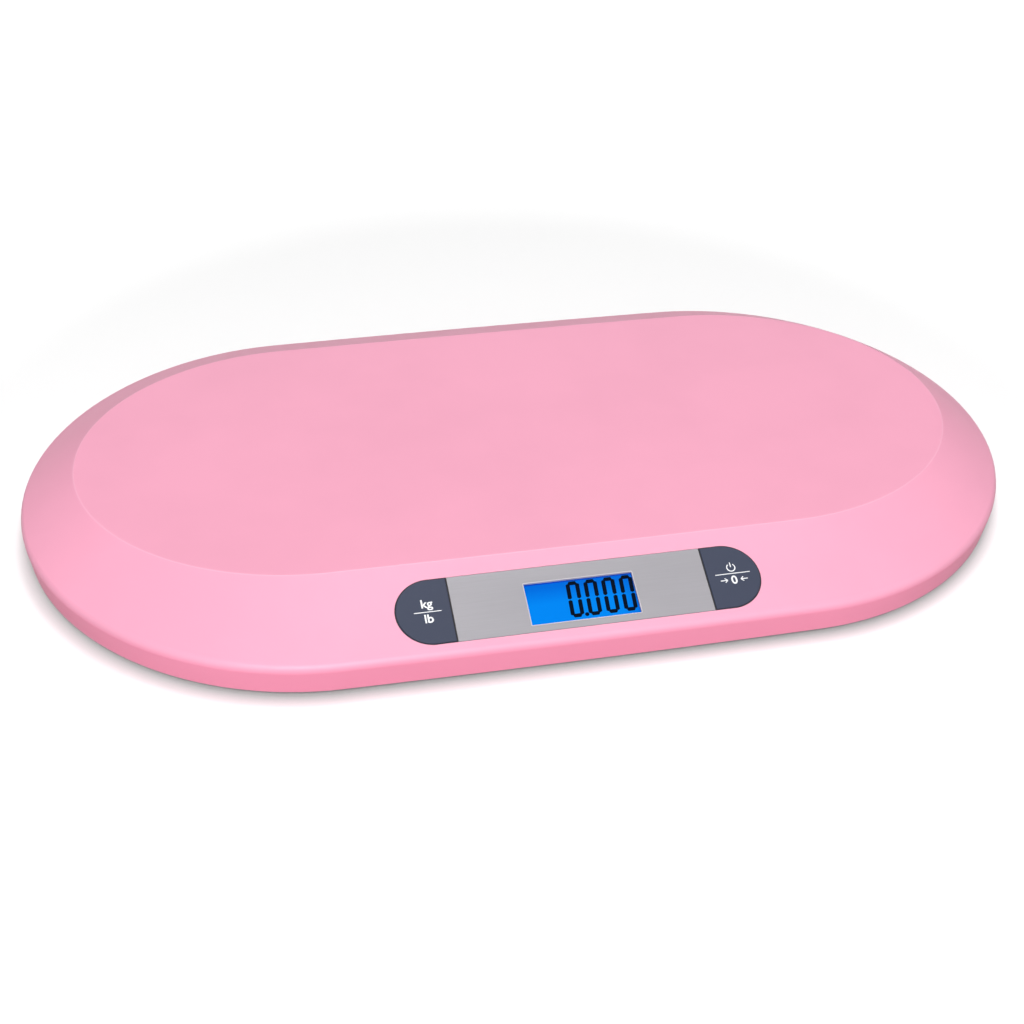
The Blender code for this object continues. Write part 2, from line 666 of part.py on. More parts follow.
def main_board():
    place = panel_place()
    shape = bmesh.new()
    low = (-BOARD_HALF_LENGTH, -BOARD_BELOW, -BOARD_UNDER)
    add_block(shape, low, (BOARD_HALF_LENGTH, BOARD_ABOVE, -BOARD_DEPTH))
    board = add_part("main_board", as_mesh("main_board", shape), "green_board", place)
    shape = bmesh.new()
    for x in (-POST_X, POST_X):
        for y in (-POST_Y, POST_Y):
            add_rod(shape, x, y, BOARD_SCREW_RADIUS + CLEARANCE, -BOARD_UNDER - OVERRUN, OVERRUN - BOARD_DEPTH)
    combine(board, add_cutter("board_holes", as_mesh("board_holes", shape), place), "DIFFERENCE")

    under = -BOARD_UNDER - CLEARANCE
    posts = [(x, y) for x in (-POST_X, POST_X) for y in (-POST_Y, POST_Y)]
    for number, (x, y) in enumerate(posts, 1):
        screw("board_screw_" + str(number), BOARD_SCREW_RADIUS, BOARD_SCREW_HEAD_RADIUS, BOARD_SCREW_HEAD,
              screw_tip(), under, panel_place(x, y))

    shape = bmesh.new()
    half = CHIP_WIDTH / 2
    chip_x = WINDOW_LENGTH / 2 + CHIP_PAST_WINDOW
    add_block(shape, (chip_x - half, -half, under - CHIP_THICKNESS), (chip_x + half, half, under))
    add_part("processor_chip", as_mesh("processor_chip", shape), "black_package", place)


def screw(name, radius, head_radius, head, tip, head_top, place):
    """A pan-head screw with its point up."""
    profile = [(0.0, tip), (radius, tip), (radius, head_top), (head_radius, head_top)]
    profile += [(head_radius, head_top - head), (0.0, head_top - head)]
    turned(name, profile, SMALL_STEPS, "spring_steel", place)


def button(name, side):
    """A hollow cap with a retaining flange under the seat and a stem that meets the switch's plunger."""
    place = panel_place(side * BUTTON_CENTRE_X)
    flange_top = -SEAT_UNDER - CLEARANCE
    flange_low = flange_top - BUTTON_FLANGE_THICKNESS
    roof = BUTTON_PROUD - BUTTON_TOP_WALL
    shape = bmesh.new()
    rings = [
        level(button_outline(side, -BUTTON_EDGE_RADIUS), BUTTON_PROUD),
        level(button_outline(side, 0.0), BUTTON_PROUD - BUTTON_EDGE_RADIUS),
        level(button_outline(side, 0.0), flange_top),
        level(button_outline(side, BUTTON_FLANGE), flange_top),
        level(button_outline(side, BUTTON_FLANGE), flange_low),
        level(button_outline(side, -BUTTON_SIDE_WALL), flange_low),
        level(button_outline(side, -BUTTON_SIDE_WALL), roof),
    ]
    add_loft(shape, rings)
    cap = add_part(name + "_button", as_mesh(name + "_button", shape, smooth=True), "slate_plastic", place)
    shape = bmesh.new()
    add_rod(shape, 0.0, 0.0, BUTTON_STEM_RADIUS, -STEM_DEPTH, BUTTON_PROUD - BUTTON_TOP_WALL / 2)
    combine(cap, add_cutter(name + "_stem", as_mesh(name + "_stem", shape), place), "UNION")

    shape = bmesh.new()
    add_rod(shape, 0.0, 0.0, PLUNGER_RADIUS, -SWITCH_DEPTH - PLUNGER_SINK, -PLUNGER_DEPTH)
    add_part(name + "_plunger", as_mesh(name + "_plunger", shape), "black_package", place)

    shape = bmesh.new()
    half = SWITCH_WIDTH / 2
    add_block(shape, (-half, -half, -SWITCH_DEPTH - SWITCH_HEIGHT), (half, half, -SWITCH_DEPTH))
    switch = add_part(name + "_switch", as_mesh(name + "_switch", shape), "spring_steel", place)
    shape = bmesh.new()
    bottom = -SWITCH_DEPTH - PLUNGER_SINK - BUTTON_TRAVEL - CLEARANCE
    add_rod(shape, 0.0, 0.0, PLUNGER_RADIUS + CLEARANCE, bottom, OVERRUN - SWITCH_DEPTH)
    combine(switch, add_cutter(name + "_switch_bore", as_mesh(name + "_switch_bore", shape), place), "DIFFERENCE")


def base_ribs():
    shape = bmesh.new()
    low, high = BASE_Z + BASE_THICKNESS / 2, BASE_TOP_Z + BASE_RIB_HEIGHT
    half = RIB_THICKNESS / 2
    for side in (-1, 1):
        for step in (1, 2):
            x = side * step * BASE_RIB_PITCH_X
            reach = pan_reach(x) - RIB_INSET
            add_block(shape, (x - half, PAN_SHIFT - reach, low), (x + half, PAN_SHIFT + reach, high))
    return as_mesh("base_ribs", shape)


def spine_rib():
    shape = bmesh.new()
    low, high = BASE_Z + BASE_THICKNESS / 2, BASE_TOP_Z + BASE_RIB_HEIGHT
    half = RIB_THICKNESS / 2
    reach = HALF_LENGTH - RIM_END
    add_block(shape, (-reach, -half, low), (reach, half, high))
    return as_mesh("spine_rib", shape)


def bay_block(half_x, half_y, low, high):
    shape = bmesh.new()
    add_block(shape, (-half_x, BAY_CENTRE_Y - half_y, low), (half_x, BAY_CENTRE_Y + half_y, high))
    return as_mesh("bay_block", shape)


def base_shell():
    """Bottom cover: a flat tray inside the skirt with foot holes, screw posts, ribs and the battery bay."""
    outline = outer_outline(BASE_INSET)
    chamfer = outer_outline(BASE_INSET + BASE_CHAMFER)
    inner = outer_outline(BASE_INSET + BASE_LIP_WALL)
    lip_z = BASE_TOP_Z + BASE_LIP_HEIGHT
    shape = bmesh.new()
    rings = [level(chamfer, BASE_Z), level(outline, BASE_Z + BASE_CHAMFER), level(outline, lip_z)]
    rings += [level(inner, lip_z), level(inner, BASE_TOP_Z)]
    add_loft(shape, rings)
    base = add_part("base_shell", as_mesh("base_shell", shape, smooth=True), "white_plastic")

    shape = bmesh.new()
    inside = BASE_Z + BASE_THICKNESS / 2
    for x, y in screw_places():
        add_rod(shape, x, y, BASE_BOSS_RADIUS, inside, BASE_BOSS_Z)
    combine(base, add_cutter("base_posts", as_mesh("base_posts", shape)), "UNION")
    combine(base, add_cutter("base_ribs", base_ribs()), "UNION")
    combine(base, add_cutter("spine_rib", spine_rib()), "UNION")
    ledge_x = DOOR_HALF_X + DOOR_GAP + LEDGE_BORDER
    ledge_y = DOOR_HALF_Y + DOOR_GAP + LEDGE_BORDER
    combine(base, add_cutter("bay_ledge", bay_block(ledge_x, ledge_y, inside, LEDGE_TOP_Z)), "UNION")
    box = bay_block(BAY_HALF_X + BAY_WALL, BAY_HALF_Y + BAY_WALL, inside, BAY_TOP_Z)
    combine(base, add_cutter("bay_box", box), "UNION")

    shape = bmesh.new()
    for name, x, y in foot_places():
        add_rod(shape, x, y, CUP_RADIUS + HOLE_GAP, BASE_Z - OVERRUN, BASE_TOP_Z + BASE_RIB_HEIGHT, ROUND_STEPS)
    for x, y in screw_places():
        add_rod(shape, x, y, SCREW_HEAD_RADIUS + CLEARANCE, BASE_Z - OVERRUN, BASE_Z + SCREW_RECESS)
    cavity = (BAY_HALF_X, BAY_CENTRE_Y + BAY_HALF_Y, BAY_CEILING_Z)
    add_block(shape, (-BAY_HALF_X, BAY_CENTRE_Y - BAY_HALF_Y, BASE_Z - OVERRUN), cavity)
    combine(base, add_cutter("base_openings", as_mesh("base_openings", shape)), "DIFFERENCE")

    shape = bmesh.new()
    for x, y in screw_places():
        add_rod(shape, x, y, SCREW_RADIUS + CLEARANCE, BASE_Z, BASE_BOSS_Z + OVERRUN)
    recess = rounded_rectangle(DOOR_HALF_X + DOOR_GAP, DOOR_HALF_Y + DOOR_GAP, DOOR_CORNER + DOOR_GAP)
    add_prism(shape, [(x, y + BAY_CENTRE_Y) for x, y in recess], BASE_Z - OVERRUN * 2, LEDGE_Z)
    combine(base, add_cutter("base_recesses", as_mesh("base_recesses", shape)), "DIFFERENCE")

    shape = bmesh.new()
    for side in (-1, 1):
        half = HOOK_WIDTH / 2 + CLEARANCE
        low = (side * HOOK_X - half, BAY_CENTRE_Y + BAY_HALF_Y - CLEARANCE, BASE_Z + DOOR_THICKNESS / 2)
        high = (side * HOOK_X + half, DOOR_HINGE_Y + DOOR_GAP / 2, LEDGE_TOP_Z + NOTCH_HEIGHT)
        add_block(shape, low, high)
    thumb_y = BAY_CENTRE_Y - DOOR_HALF_Y - DOOR_GAP
    thumb = arc(0.0, thumb_y, THUMB_RADIUS, 180, 360, SMALL_STEPS)
    thumb += [(THUMB_RADIUS, thumb_y + DOOR_GAP), (-THUMB_RADIUS, thumb_y + DOOR_GAP)]
    add_prism(shape, thumb, BASE_Z - OVERRUN, BASE_Z + THUMB_DEPTH)
    combine(base, add_cutter("door_notches", as_mesh("door_notches", shape)), "DIFFERENCE")


def base_screws():
    head_top = BASE_Z + SCREW_RECESS - CLEARANCE
    tip = BASE_BOSS_Z + SCREW_REACH
    for number, (x, y) in enumerate(screw_places(), 1):
        screw("base_screw_" + str(number), SCREW_RADIUS, SCREW_HEAD_RADIUS, SCREW_HEAD, tip, head_top,
              Matrix.Translation((x, y, 0.0)))


def foot(name, x, y):
    place = Matrix.Translation((x, y, 0.0))
    edge = PAD_RADIUS - PAD_EDGE
    pad = [(0.0, PAD_THICKNESS), (edge, PAD_THICKNESS), (PAD_RADIUS, PAD_THICKNESS - PAD_EDGE)]
    pad += [(PAD_RADIUS, PAD_EDGE), (edge, 0.0), (0.0, 0.0)]
    turned("foot_pad_" + name, pad, ROUND_STEPS, "grey_rubber", place)

    flange = CUP_RADIUS + CUP_FLANGE
    core = CUP_RADIUS - CUP_WALL
    hub = CUP_HUB_RADIUS
    floor = CUP_RECESS_Z + CUP_FLOOR
    cup = [(0.0, CUP_HUB_Z), (hub, CUP_HUB_Z), (hub, floor), (core, floor), (core, CUP_TOP_Z), (flange, CUP_TOP_Z)]
    cup += [(flange, CUP_FLANGE_Z), (CUP_RADIUS, CUP_FLANGE_Z), (CUP_RADIUS, CUP_BOTTOM + CUP_EDGE)]
    cup += [(CUP_RADIUS - CUP_EDGE, CUP_BOTTOM), (CUP_RECESS_RADIUS, CUP_BOTTOM)]
    cup += [(CUP_RECESS_RADIUS, CUP_RECESS_Z), (0.0, CUP_RECESS_Z)]
    turned("foot_cup_" + name, cup, ROUND_STEPS, "white_plastic", place)


def load_cell(name, x, y):
    """An E-shaped steel plate: two arms carry the platform and the tongue between them rests on the foot."""
    place = Matrix.Translation((x, y, 0.0))
    half = CELL_WIDTH / 2
    tongue = TONGUE_WIDTH / 2
    slot = tongue + CELL_SLOT
    root = half - CELL_BRIDGE
    outline = [(-half, -half), (-slot, -half), (-slot, root), (-tongue, root), (-tongue, -half), (tongue, -half)]
    outline += [(tongue, root), (slot, root), (slot, -half), (half, -half), (half, half), (-half, half)]
    if y > 0:
        outline = [(-px, -py) for px, py in outline]
    shape = bmesh.new()
    add_prism(shape, outline, CELL_Z, CELL_TOP_Z)
    cell = add_part("load_cell_" + name, as_mesh("load_cell_" + name, shape), "cell_steel", place)
    shape = bmesh.new()
    low = (-SEAL_WIDTH / 2, -SEAL_LENGTH / 2, CELL_TOP_Z - CELL_THICKNESS / 2)
    add_block(shape, low, (SEAL_WIDTH / 2, SEAL_LENGTH / 2, CELL_TOP_Z + SEAL_THICKNESS))
    combine(cell, add_cutter("gauge_seal_" + name, as_mesh("gauge_seal_" + name, shape), place), "UNION")

    shape = bmesh.new()
    outer = rectangle(half + HOLDER_WALL, half + HOLDER_WALL)
    pocket = rectangle(half + CLEARANCE, half + CLEARANCE)
    hole = rectangle(HOLDER_HOLE / 2, HOLDER_HOLE / 2)
    rings = [level(outer, HOLDER_Z), level(outer, HOLDER_TOP_Z), level(hole, HOLDER_TOP_Z)]
    rings += [level(hole, HOLDER_ROOF_Z), level(pocket, HOLDER_ROOF_Z), level(pocket, HOLDER_Z)]
    add_loft(shape, rings, closed=True)
    add_part("cell_holder_" + name, as_mesh("cell_holder_" + name, shape), "white_plastic", place)


def battery_places():
    """Row number, Y place and the end at which each cell's spring sits."""
    for row, spring_end in ((-1, -1), (0, 1), (1, -1)):
        yield row + 2, BAY_CENTRE_Y + row * CELL_PITCH, spring_end


def batteries():
    for number, y, spring_end in battery_places():
        nub_end = -spring_end * (CONTACT_HALF_X - CLEARANCE)
        place = Matrix.Translation((nub_end, y, AAA_Z)) @ Matrix.Rotation(-spring_end * math.pi / 2, 4, "Y")
        shoulder = -NUB_LENGTH
        profile = [(0.0, 0.0), (NUB_RADIUS, 0.0), (NUB_RADIUS, shoulder), (CELL_RADIUS_AAA, shoulder)]
        profile += [(CELL_RADIUS_AAA, -CELL_LENGTH_AAA), (0.0, -CELL_LENGTH_AAA)]
        turned("battery_" + str(number), profile, ROUND_STEPS, "cell_jacket", place)


def battery_contacts():
    """Two end plates and two bridges put the cells in series; each cell has a cone spring at its flat end."""
    half = PLATE_SIZE / 2
    plates = (("negative_plate", -1, -1, -1), ("bridge_plate_1", 1, -1, 0), ("bridge_plate_2", -1, 0, 1))
    plates += (("positive_plate", 1, 1, 1),)
    for name, side, first, last in plates:
        shape = bmesh.new()
        inner, outer = sorted((side * CONTACT_HALF_X, side * (CONTACT_HALF_X + CONTACT_THICKNESS)))
        low = (inner, BAY_CENTRE_Y + first * CELL_PITCH - half, AAA_Z - half)
        add_block(shape, low, (outer, BAY_CENTRE_Y + last * CELL_PITCH + half, AAA_Z + half))
        add_part(name, as_mesh(name, shape), "spring_steel")

    count = SPRING_TURNS * SPRING_STEPS
    for number, y, spring_end in battery_places():
        curve = bpy.data.curves.new("contact_spring_" + str(number), "CURVE")
        curve.dimensions = "3D"
        curve.bevel_depth = SPRING_WIRE
        curve.bevel_resolution = 1
        curve.use_fill_caps = True
        spline = curve.splines.new("POLY")
        spline.points.add(count)
        for step in range(count + 1):
            share = step / count
            radius = SPRING_BASE_RADIUS + (SPRING_TIP_RADIUS - SPRING_BASE_RADIUS) * share
            angle = 2 * math.pi * step / SPRING_STEPS
            root = CONTACT_HALF_X - CLEARANCE - SPRING_WIRE
            run = SPRING_LENGTH - CLEARANCE - 2 * SPRING_WIRE
            x = spring_end * (root - run * share)
            spline.points[step].co = (x, y + radius * math.cos(angle), AAA_Z + radius * math.sin(angle), 1.0)
        add_part("contact_spring_" + str(number), curve, "spring_steel")


def battery_door():
    """Door with two hooks at its back edge and a spring finger at its front edge; it swings on the hooks."""
    place = Matrix.Translation((0.0, DOOR_HINGE_Y, BASE_Z))
    shape = bmesh.new()
    outline = rounded_rectangle(DOOR_HALF_X, DOOR_HALF_Y, DOOR_CORNER)
    add_prism(shape, [(x, y - DOOR_HALF_Y) for x, y in outline], 0.0, DOOR_THICKNESS)
    door = add_part("battery_door", as_mesh("battery_door", shape), "white_plastic", place)

    shape = bmesh.new()
    stem_low = DOOR_THICKNESS / 2
    lip_low = BASE_THICKNESS + LEDGE_TOP_Z - BASE_TOP_Z + CLEARANCE
    lip_top = lip_low + HOOK_THICKNESS
    profile = [(-HOOK_THICKNESS - DOOR_GAP, stem_low), (-DOOR_GAP, stem_low), (-DOOR_GAP, lip_low)]
    profile += [(HOOK_REACH, lip_low), (HOOK_REACH, lip_top), (-HOOK_THICKNESS - DOOR_GAP, lip_top)]
    for side in (-1, 1):
        rings = []
        for x in (side * HOOK_X - HOOK_WIDTH / 2, side * HOOK_X + HOOK_WIDTH / 2):
            rings.append([Vector((x, y, z)) for y, z in profile])
        add_loft(shape, rings)
    combine(door, add_cutter("door_hooks", as_mesh("door_hooks", shape), place), "UNION")

    shape = bmesh.new()
    front = -2 * DOOR_HALF_Y
    for side in (-1, 1):
        x = side * FINGER_WIDTH / 2
        low = (x - FINGER_SLOT / 2, front - OVERRUN, -OVERRUN)
        high = (x + FINGER_SLOT / 2, front + FINGER_LENGTH, DOOR_THICKNESS + OVERRUN)
        add_block(shape, low, high)
    combine(door, add_cutter("finger_slots", as_mesh("finger_slots", shape), place), "DIFFERENCE")


def smooth_route(points, steps):
    """Read points from a smooth curve that passes through every point of the route."""
    padded = [points[0] * 2 - points[1]] + points + [points[-1] * 2 - points[-2]]
    route = []
    for before, start, end, after in zip(padded, padded[1:], padded[2:], padded[3:]):
        for step in range(steps):
            t = step / steps
            bend = (2 * before - 5 * start + 4 * end - after) * t * t
            twist = (3 * start - before - 3 * end + after) * t * t * t
            route.append((2 * start + (end - before) * t + bend + twist) / 2)
    route.append(points[-1])
    return route


def lead(name, points, radius, material):
    route = smooth_route([Vector(point) for point in points], ROUTE_STEPS)
    curve = bpy.data.curves.new(name, "CURVE")
    curve.dimensions = "3D"
    curve.bevel_depth = radius
    curve.bevel_resolution = 1
    curve.use_fill_caps = True
    spline = curve.splines.new("POLY")
    spline.points.add(len(route) - 1)
    for point, place in zip(spline.points, route):
        point.co = (*place, 1.0)
    add_part(name, curve, material)


def board_end(x):
    """The last two points of a lead that meets the underside of the board square on."""
    place = panel_place()
    end = place @ Vector((x, LEAD_BOARD_Y, -BOARD_UNDER - CLEARANCE))
    bend = place @ Vector((x, LEAD_BOARD_Y, -BOARD_UNDER - CLEARANCE - LEAD_BEND))
    return [bend, end]


def cell_leads():
    """Sleeved leads from each gauge through its tower's notch to the board; the back ones run up a middle lane."""
    lift = TOWER_Z + LEAD_RISE / 2
    for name, x, y in foot_places():
        sign = math.copysign(1.0, x)
        seal_top = CELL_TOP_Z + SEAL_THICKNESS + CLEARANCE
        points = [(x, y, seal_top), (x, y, seal_top + LEAD_RISE / 2), (x - sign * LEAD_RISE, y, lift)]
        points.append((x - sign * TOWER_RADIUS, y, lift))
        points.append((x - sign * (TOWER_RADIUS + LEAD_BEND), y, lift))
        board_x = LEAD_BOARD_X
        if y > 0:
            lane = sign * LEAD_LANE_X
            points += [(lane, y - LEAD_BEND, LEAD_LEVEL), (lane, 0.0, LEAD_LEVEL), (lane, -FOOT_Y, LEAD_LEVEL)]
            board_x -= LEAD_BOARD_PITCH
        bend, end = board_end(sign * board_x)
        points += [(bend.x + sign * LEAD_BEND, bend.y + LEAD_BEND, bend.z), bend, end]
        lead("cell_lead_" + name, points, CELL_LEAD_RADIUS, "grey_sleeve")


def battery_leads():
    start_y = BAY_CENTRE_Y - BAY_HALF_Y - BAY_WALL - CLEARANCE
    for name, side, sleeve in (("positive_lead", 1, "red_sleeve"), ("negative_lead", -1, "black_sleeve")):
        x = side * BATTERY_LEAD_X
        bend, end = board_end(x)
        points = [(x, start_y, AAA_Z), (x, start_y - LEAD_BEND, LEAD_LEVEL), (x, 0.0, LEAD_LEVEL)]
        points += [(x, -FOOT_Y, LEAD_LEVEL), bend, end]
        lead(name, points, BATTERY_LEAD_RADIUS, sleeve)


def build():
    clear_scene()
    top_shell()
    base_shell()
    base_screws()
    display_panel()
    main_board()
    button("unit", -1)
    button("power", 1)
    for name, x, y in foot_places():
        foot(name, x, y)
        load_cell(name, x, y)
    batteries()
    battery_contacts()
    battery_door()
    cell_leads()
    battery_leads()


build()
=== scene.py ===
"""Digital baby scale, dressed round its packed frame: moulded shell, display panel, keys, underside and studio."""

import json
import math

import bmesh
import bpy
from bpy.props import FloatProperty, FloatVectorProperty, IntProperty, PointerProperty, StringProperty
from mathutils import Matrix, Vector


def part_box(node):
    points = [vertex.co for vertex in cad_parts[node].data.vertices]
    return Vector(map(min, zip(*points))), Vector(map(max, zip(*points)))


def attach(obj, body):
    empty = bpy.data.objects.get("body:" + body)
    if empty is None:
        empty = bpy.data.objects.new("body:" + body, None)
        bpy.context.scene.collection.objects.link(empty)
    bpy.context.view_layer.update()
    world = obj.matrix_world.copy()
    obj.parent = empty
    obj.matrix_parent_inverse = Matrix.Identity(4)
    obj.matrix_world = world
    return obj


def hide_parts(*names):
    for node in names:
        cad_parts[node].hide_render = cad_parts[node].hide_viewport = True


bl_info = {
    "name": "Digital Baby Scale",
    "version": (1, 0, 0),
    "blender": (4, 5, 0),
    "location": "View3D > Sidebar > Baby Scale",
    "description": "Dresses the packed baby scale with its moulded shell, display panel, keys, underside and studio",
    "category": "Add Mesh",
}

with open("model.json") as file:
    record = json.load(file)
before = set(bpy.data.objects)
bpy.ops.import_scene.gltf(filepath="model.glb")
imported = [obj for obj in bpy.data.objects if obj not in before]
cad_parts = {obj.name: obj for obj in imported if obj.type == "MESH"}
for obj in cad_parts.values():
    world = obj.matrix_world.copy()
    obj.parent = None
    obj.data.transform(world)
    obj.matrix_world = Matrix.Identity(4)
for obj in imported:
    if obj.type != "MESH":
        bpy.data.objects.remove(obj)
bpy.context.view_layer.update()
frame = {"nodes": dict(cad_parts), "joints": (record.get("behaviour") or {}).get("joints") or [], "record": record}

MM = 0.001
PLATE_LOW, PLATE_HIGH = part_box("display_plate")
PRESS_AXIS = next(joint["axis"] for joint in frame["joints"] if joint["name"] == "unit_press")
UP = (0.0, 0.0, 1.0)


def length(name, description, default):
    """A size that is never below zero, shown with its unit."""
    return FloatProperty(name=name, description=description, default=default, min=0.0, unit="LENGTH", precision=5)


def colour(name, description, default):
    return FloatVectorProperty(name=name, description=description, default=default, min=0.0, max=1.0, subtype="COLOR")


def angle(name, description, default):
    return FloatProperty(name=name, description=description, default=default, subtype="ANGLE")


class BABYSCALE_PG_shell(bpy.types.PropertyGroup):
    """Sizes and colour of the moulded top shell."""

    length: length("Length", "Length over the ends before the shoulder is rounded", 559.92 * MM)
    end_radius: length("End radius", "Radius of the half-round ends at the shoulder", 154.46 * MM)
    side_bow: length("Side bow", "How far the long sides swell out at their middle", 4.7 * MM)
    floor_gap: length("Floor gap", "Height of the skirt's lower edge above the floor", 4.0 * MM)
    shoulder_rise: length("Shoulder rise", "Height of the shoulder above the skirt's lower edge", 16.2 * MM)
    pan_rise: length("Pan rise", "Height of the pan above the skirt's lower edge", 36.5 * MM)
    draft: length("Skirt draft", "How far the skirt draws in towards its lower edge", 2.6 * MM)
    shoulder_radius: length("Shoulder radius", "Radius of the soft shoulder", 4.6 * MM)
    pan_edge_radius: length("Pan edge radius", "Radius of the edge round the flat pan", 2.0 * MM)
    wall: length("Wall", "Thickness of the moulding", 2.5 * MM)
    rim_end: length("End rim", "Width of the sloping rim at the ends", 30.6 * MM)
    rim_front: length("Front rim", "Width of the sloping rim in front", 50.8 * MM)
    rim_back: length("Back rim", "Width of the sloping rim at the back", 43.2 * MM)
    pan_bow: length("Pan bow", "How far the long edges of the pan swell out at their middle", 2.0 * MM)
    pocket_radius: length("Pocket radius", "Radius of the ends of the panel's pocket", 18.8 * MM)
    pocket_centre: length("Pocket centre", "Distance of the pocket's half-round ends from its middle", 77.25 * MM)
    pocket_depth: length("Pocket depth", "Depth of the panel's pocket", 1.5 * MM)
    seat_thickness: length("Seat thickness", "Thickness of the seat under the panel", 2.0 * MM)
    pocket_edge: length("Pocket edge", "Width of the broken edge round the pocket", 0.12 * MM)
    end_steps: IntProperty(name="End steps", description="Steps round each end", default=72, min=8, max=400)
    side_steps: IntProperty(name="Side steps", description="Steps along each long side", default=28, min=2, max=200)
    fillet_steps: IntProperty(name="Fillet steps", description="Steps across a rounded edge", default=7, min=1, max=20)
    tint: colour("Colour", "Colour of the pink plastic", (0.875, 0.372, 0.515))
    # Painted shade: a deeper, darker pink low on the skirt stands in for the shade on its upright band.
    skirt_shade_tint: colour("Skirt colour", "Deeper colour of the plastic low on the skirt", (0.930, 0.302, 0.452))
    # Painted highlight: a paler pink along the edge round the pan stands in for the light its rounding catches.
    edge_highlight_tint: colour("Edge colour", "Paler, polished edge round the pan", (0.900, 0.420, 0.560))


class BABYSCALE_PG_panel(bpy.types.PropertyGroup):
    """Sizes and colours of the silver plate and the display behind it."""

    plate_length: length("Plate length", "Length of the silver plate", 133.7 * MM)
    plate_height: length("Plate height", "Height of the silver plate", 37.2 * MM)
    plate_thickness: length("Plate thickness", "Thickness of the silver plate", 1.2 * MM)
    plate_edge: length("Plate edge", "Width of the plate's broken edges", 0.15 * MM)
    window_length: length("Window length", "Length of the display opening", 58.0 * MM)
    window_height: length("Window height", "Height of the display opening", 25.0 * MM)
    window_drop: length("Window drop", "How far the opening sits below the middle of the plate", 2.5 * MM)
    window_corner: length("Window corner", "Corner radius of the display opening", 0.7 * MM)
    trim_width: length("Trim width", "Width of the pale trim round the display opening", 0.42 * MM)
    # The liner is a dark blue sheet of painted shade and glow round the display.
    liner_wall: length("Liner wall", "Thickness of the liner between window and display", 0.7 * MM)
    liner_top: length("Liner top", "Depth of the liner's upper edge", 2.5 * MM)
    glass_depth: length("Display depth", "Depth of the display glass below the plate's face", 3.8 * MM)
    reading: StringProperty(name="Reading", description="Digits shown on the display", default="0.000")
    digit_height: length("Digit height", "Height of a digit", 21.0 * MM)
    digit_width: length("Digit width", "Width of a digit", 7.1 * MM)
    digit_pitch: length("Digit pitch", "Distance from one digit to the next", 9.4 * MM)
    digit_stroke: length("Digit stroke", "Width of one segment", 2.15 * MM)
    digit_lean: angle("Digit lean", "How far the digits lean", 0.05)
    silver: colour("Silver", "Colour of the brushed plate", (0.275, 0.265, 0.285))
    glow: colour("Glow", "Colour of the lit display", (0.0, 0.245, 0.90))
    digit_tint: colour("Digit colour", "Colour of the dark segments", (0.002, 0.003, 0.006))


class BABYSCALE_PG_keys(bpy.types.PropertyGroup):
    """Sizes and colours of the two press keys."""

    radius: length("Radius", "Radius of a key's outer end", 18.2 * MM)
    straight: length("Straight", "Straight length between a key's inner edge and its half-round end", 9.7 * MM)
    inner_edge: length("Inner edge", "Distance of a key's inner edge from the middle of the panel", 67.55 * MM)
    proud: length("Proud", "How far a key stands out of the panel", 0.3 * MM)
    edge_radius: length("Edge radius", "Radius of a key's upper edge", 0.4 * MM)
    wall: length("Wall", "Thickness of a key's sides", 1.4 * MM)
    roof: length("Roof", "Thickness of a key's top", 1.5 * MM)
    flange: length("Flange", "How far a key's flange reaches under the seat", 1.4 * MM)
    flange_top: length("Flange top", "Depth of the flange's upper face", 3.8 * MM)
    flange_thickness: length("Flange thickness", "Thickness of the flange", 1.0 * MM)
    stem_radius: length("Stem radius", "Radius of the stem over the switch", 2.5 * MM)
    mark_height: length("Mark height", "Height of a printed mark's letters", 4.7 * MM)
    mark_depth: length("Mark depth", "Thickness of the print", 0.04 * MM)
    # Painted shade: each dust seal is a black ring in the gap round its key, standing in for the shade in that gap.
    shade_ring_gap: length("Seal gap", "Gap between a key and the dust seal round it", 0.08 * MM)
    shade_ring_width: length("Seal width", "Width of the dust seal round a key", 0.46 * MM)
    shade_ring_bottom: length("Seal bottom", "Depth of the seal's lower face", 1.46 * MM)
    shade_ring_top: length("Seal top", "Depth of the seal's upper face", 0.20 * MM)
    shade_ring_tint: colour("Seal colour", "Colour of the dust seals", (0.012, 0.010, 0.013))
    tint: colour("Colour", "Colour of the slate-grey keys", (0.038, 0.046, 0.078))
    print_tint: colour("Print colour", "Colour of the printed marks", (0.90, 0.91, 0.93))


class BABYSCALE_PG_underside(bpy.types.PropertyGroup):
    """Sizes of the fittings that show from below."""

    screw_head: length("Screw head", "Radius of a base screw's head", 3.2 * MM)
    thread_pitch: length("Thread pitch", "Distance from one turn of a screw's thread to the next", 1.1 * MM)
    grip_ridges: IntProperty(
        name="Grip ridges", description="Ridges on the battery door's latch", default=4, min=1, max=5
    )
    grip_height: length("Grip height", "How far the ridges stand out of the door", 0.4 * MM)


class BABYSCALE_PG_stage(bpy.types.PropertyGroup):
    """The camera's place and the studio round the scale."""

    azimuth: angle("Azimuth", "Camera's turn round the scale", -0.24173)
    elevation: angle("Elevation", "Camera's height angle", 0.61104)
    roll: angle("Roll", "Camera's tilt about its own line of sight", 0.03456)
    distance: length("Distance", "Distance from the camera to the middle of the scale", 1000.7 * MM)
    lens: FloatProperty(name="Lens", description="Focal length", default=60.482, unit="CAMERA")
    shift_x: FloatProperty(name="Shift X", description="Sideways shift of the frame", default=-0.00905)
    shift_y: FloatProperty(name="Shift Y", description="Upward shift of the frame", default=-0.01999)
    floor_size: length("Floor size", "Half the width of the floor", 12.0)
    floor_tint: colour("Floor colour", "Colour of the floor as it lights the scale", (0.48, 0.48, 0.48))


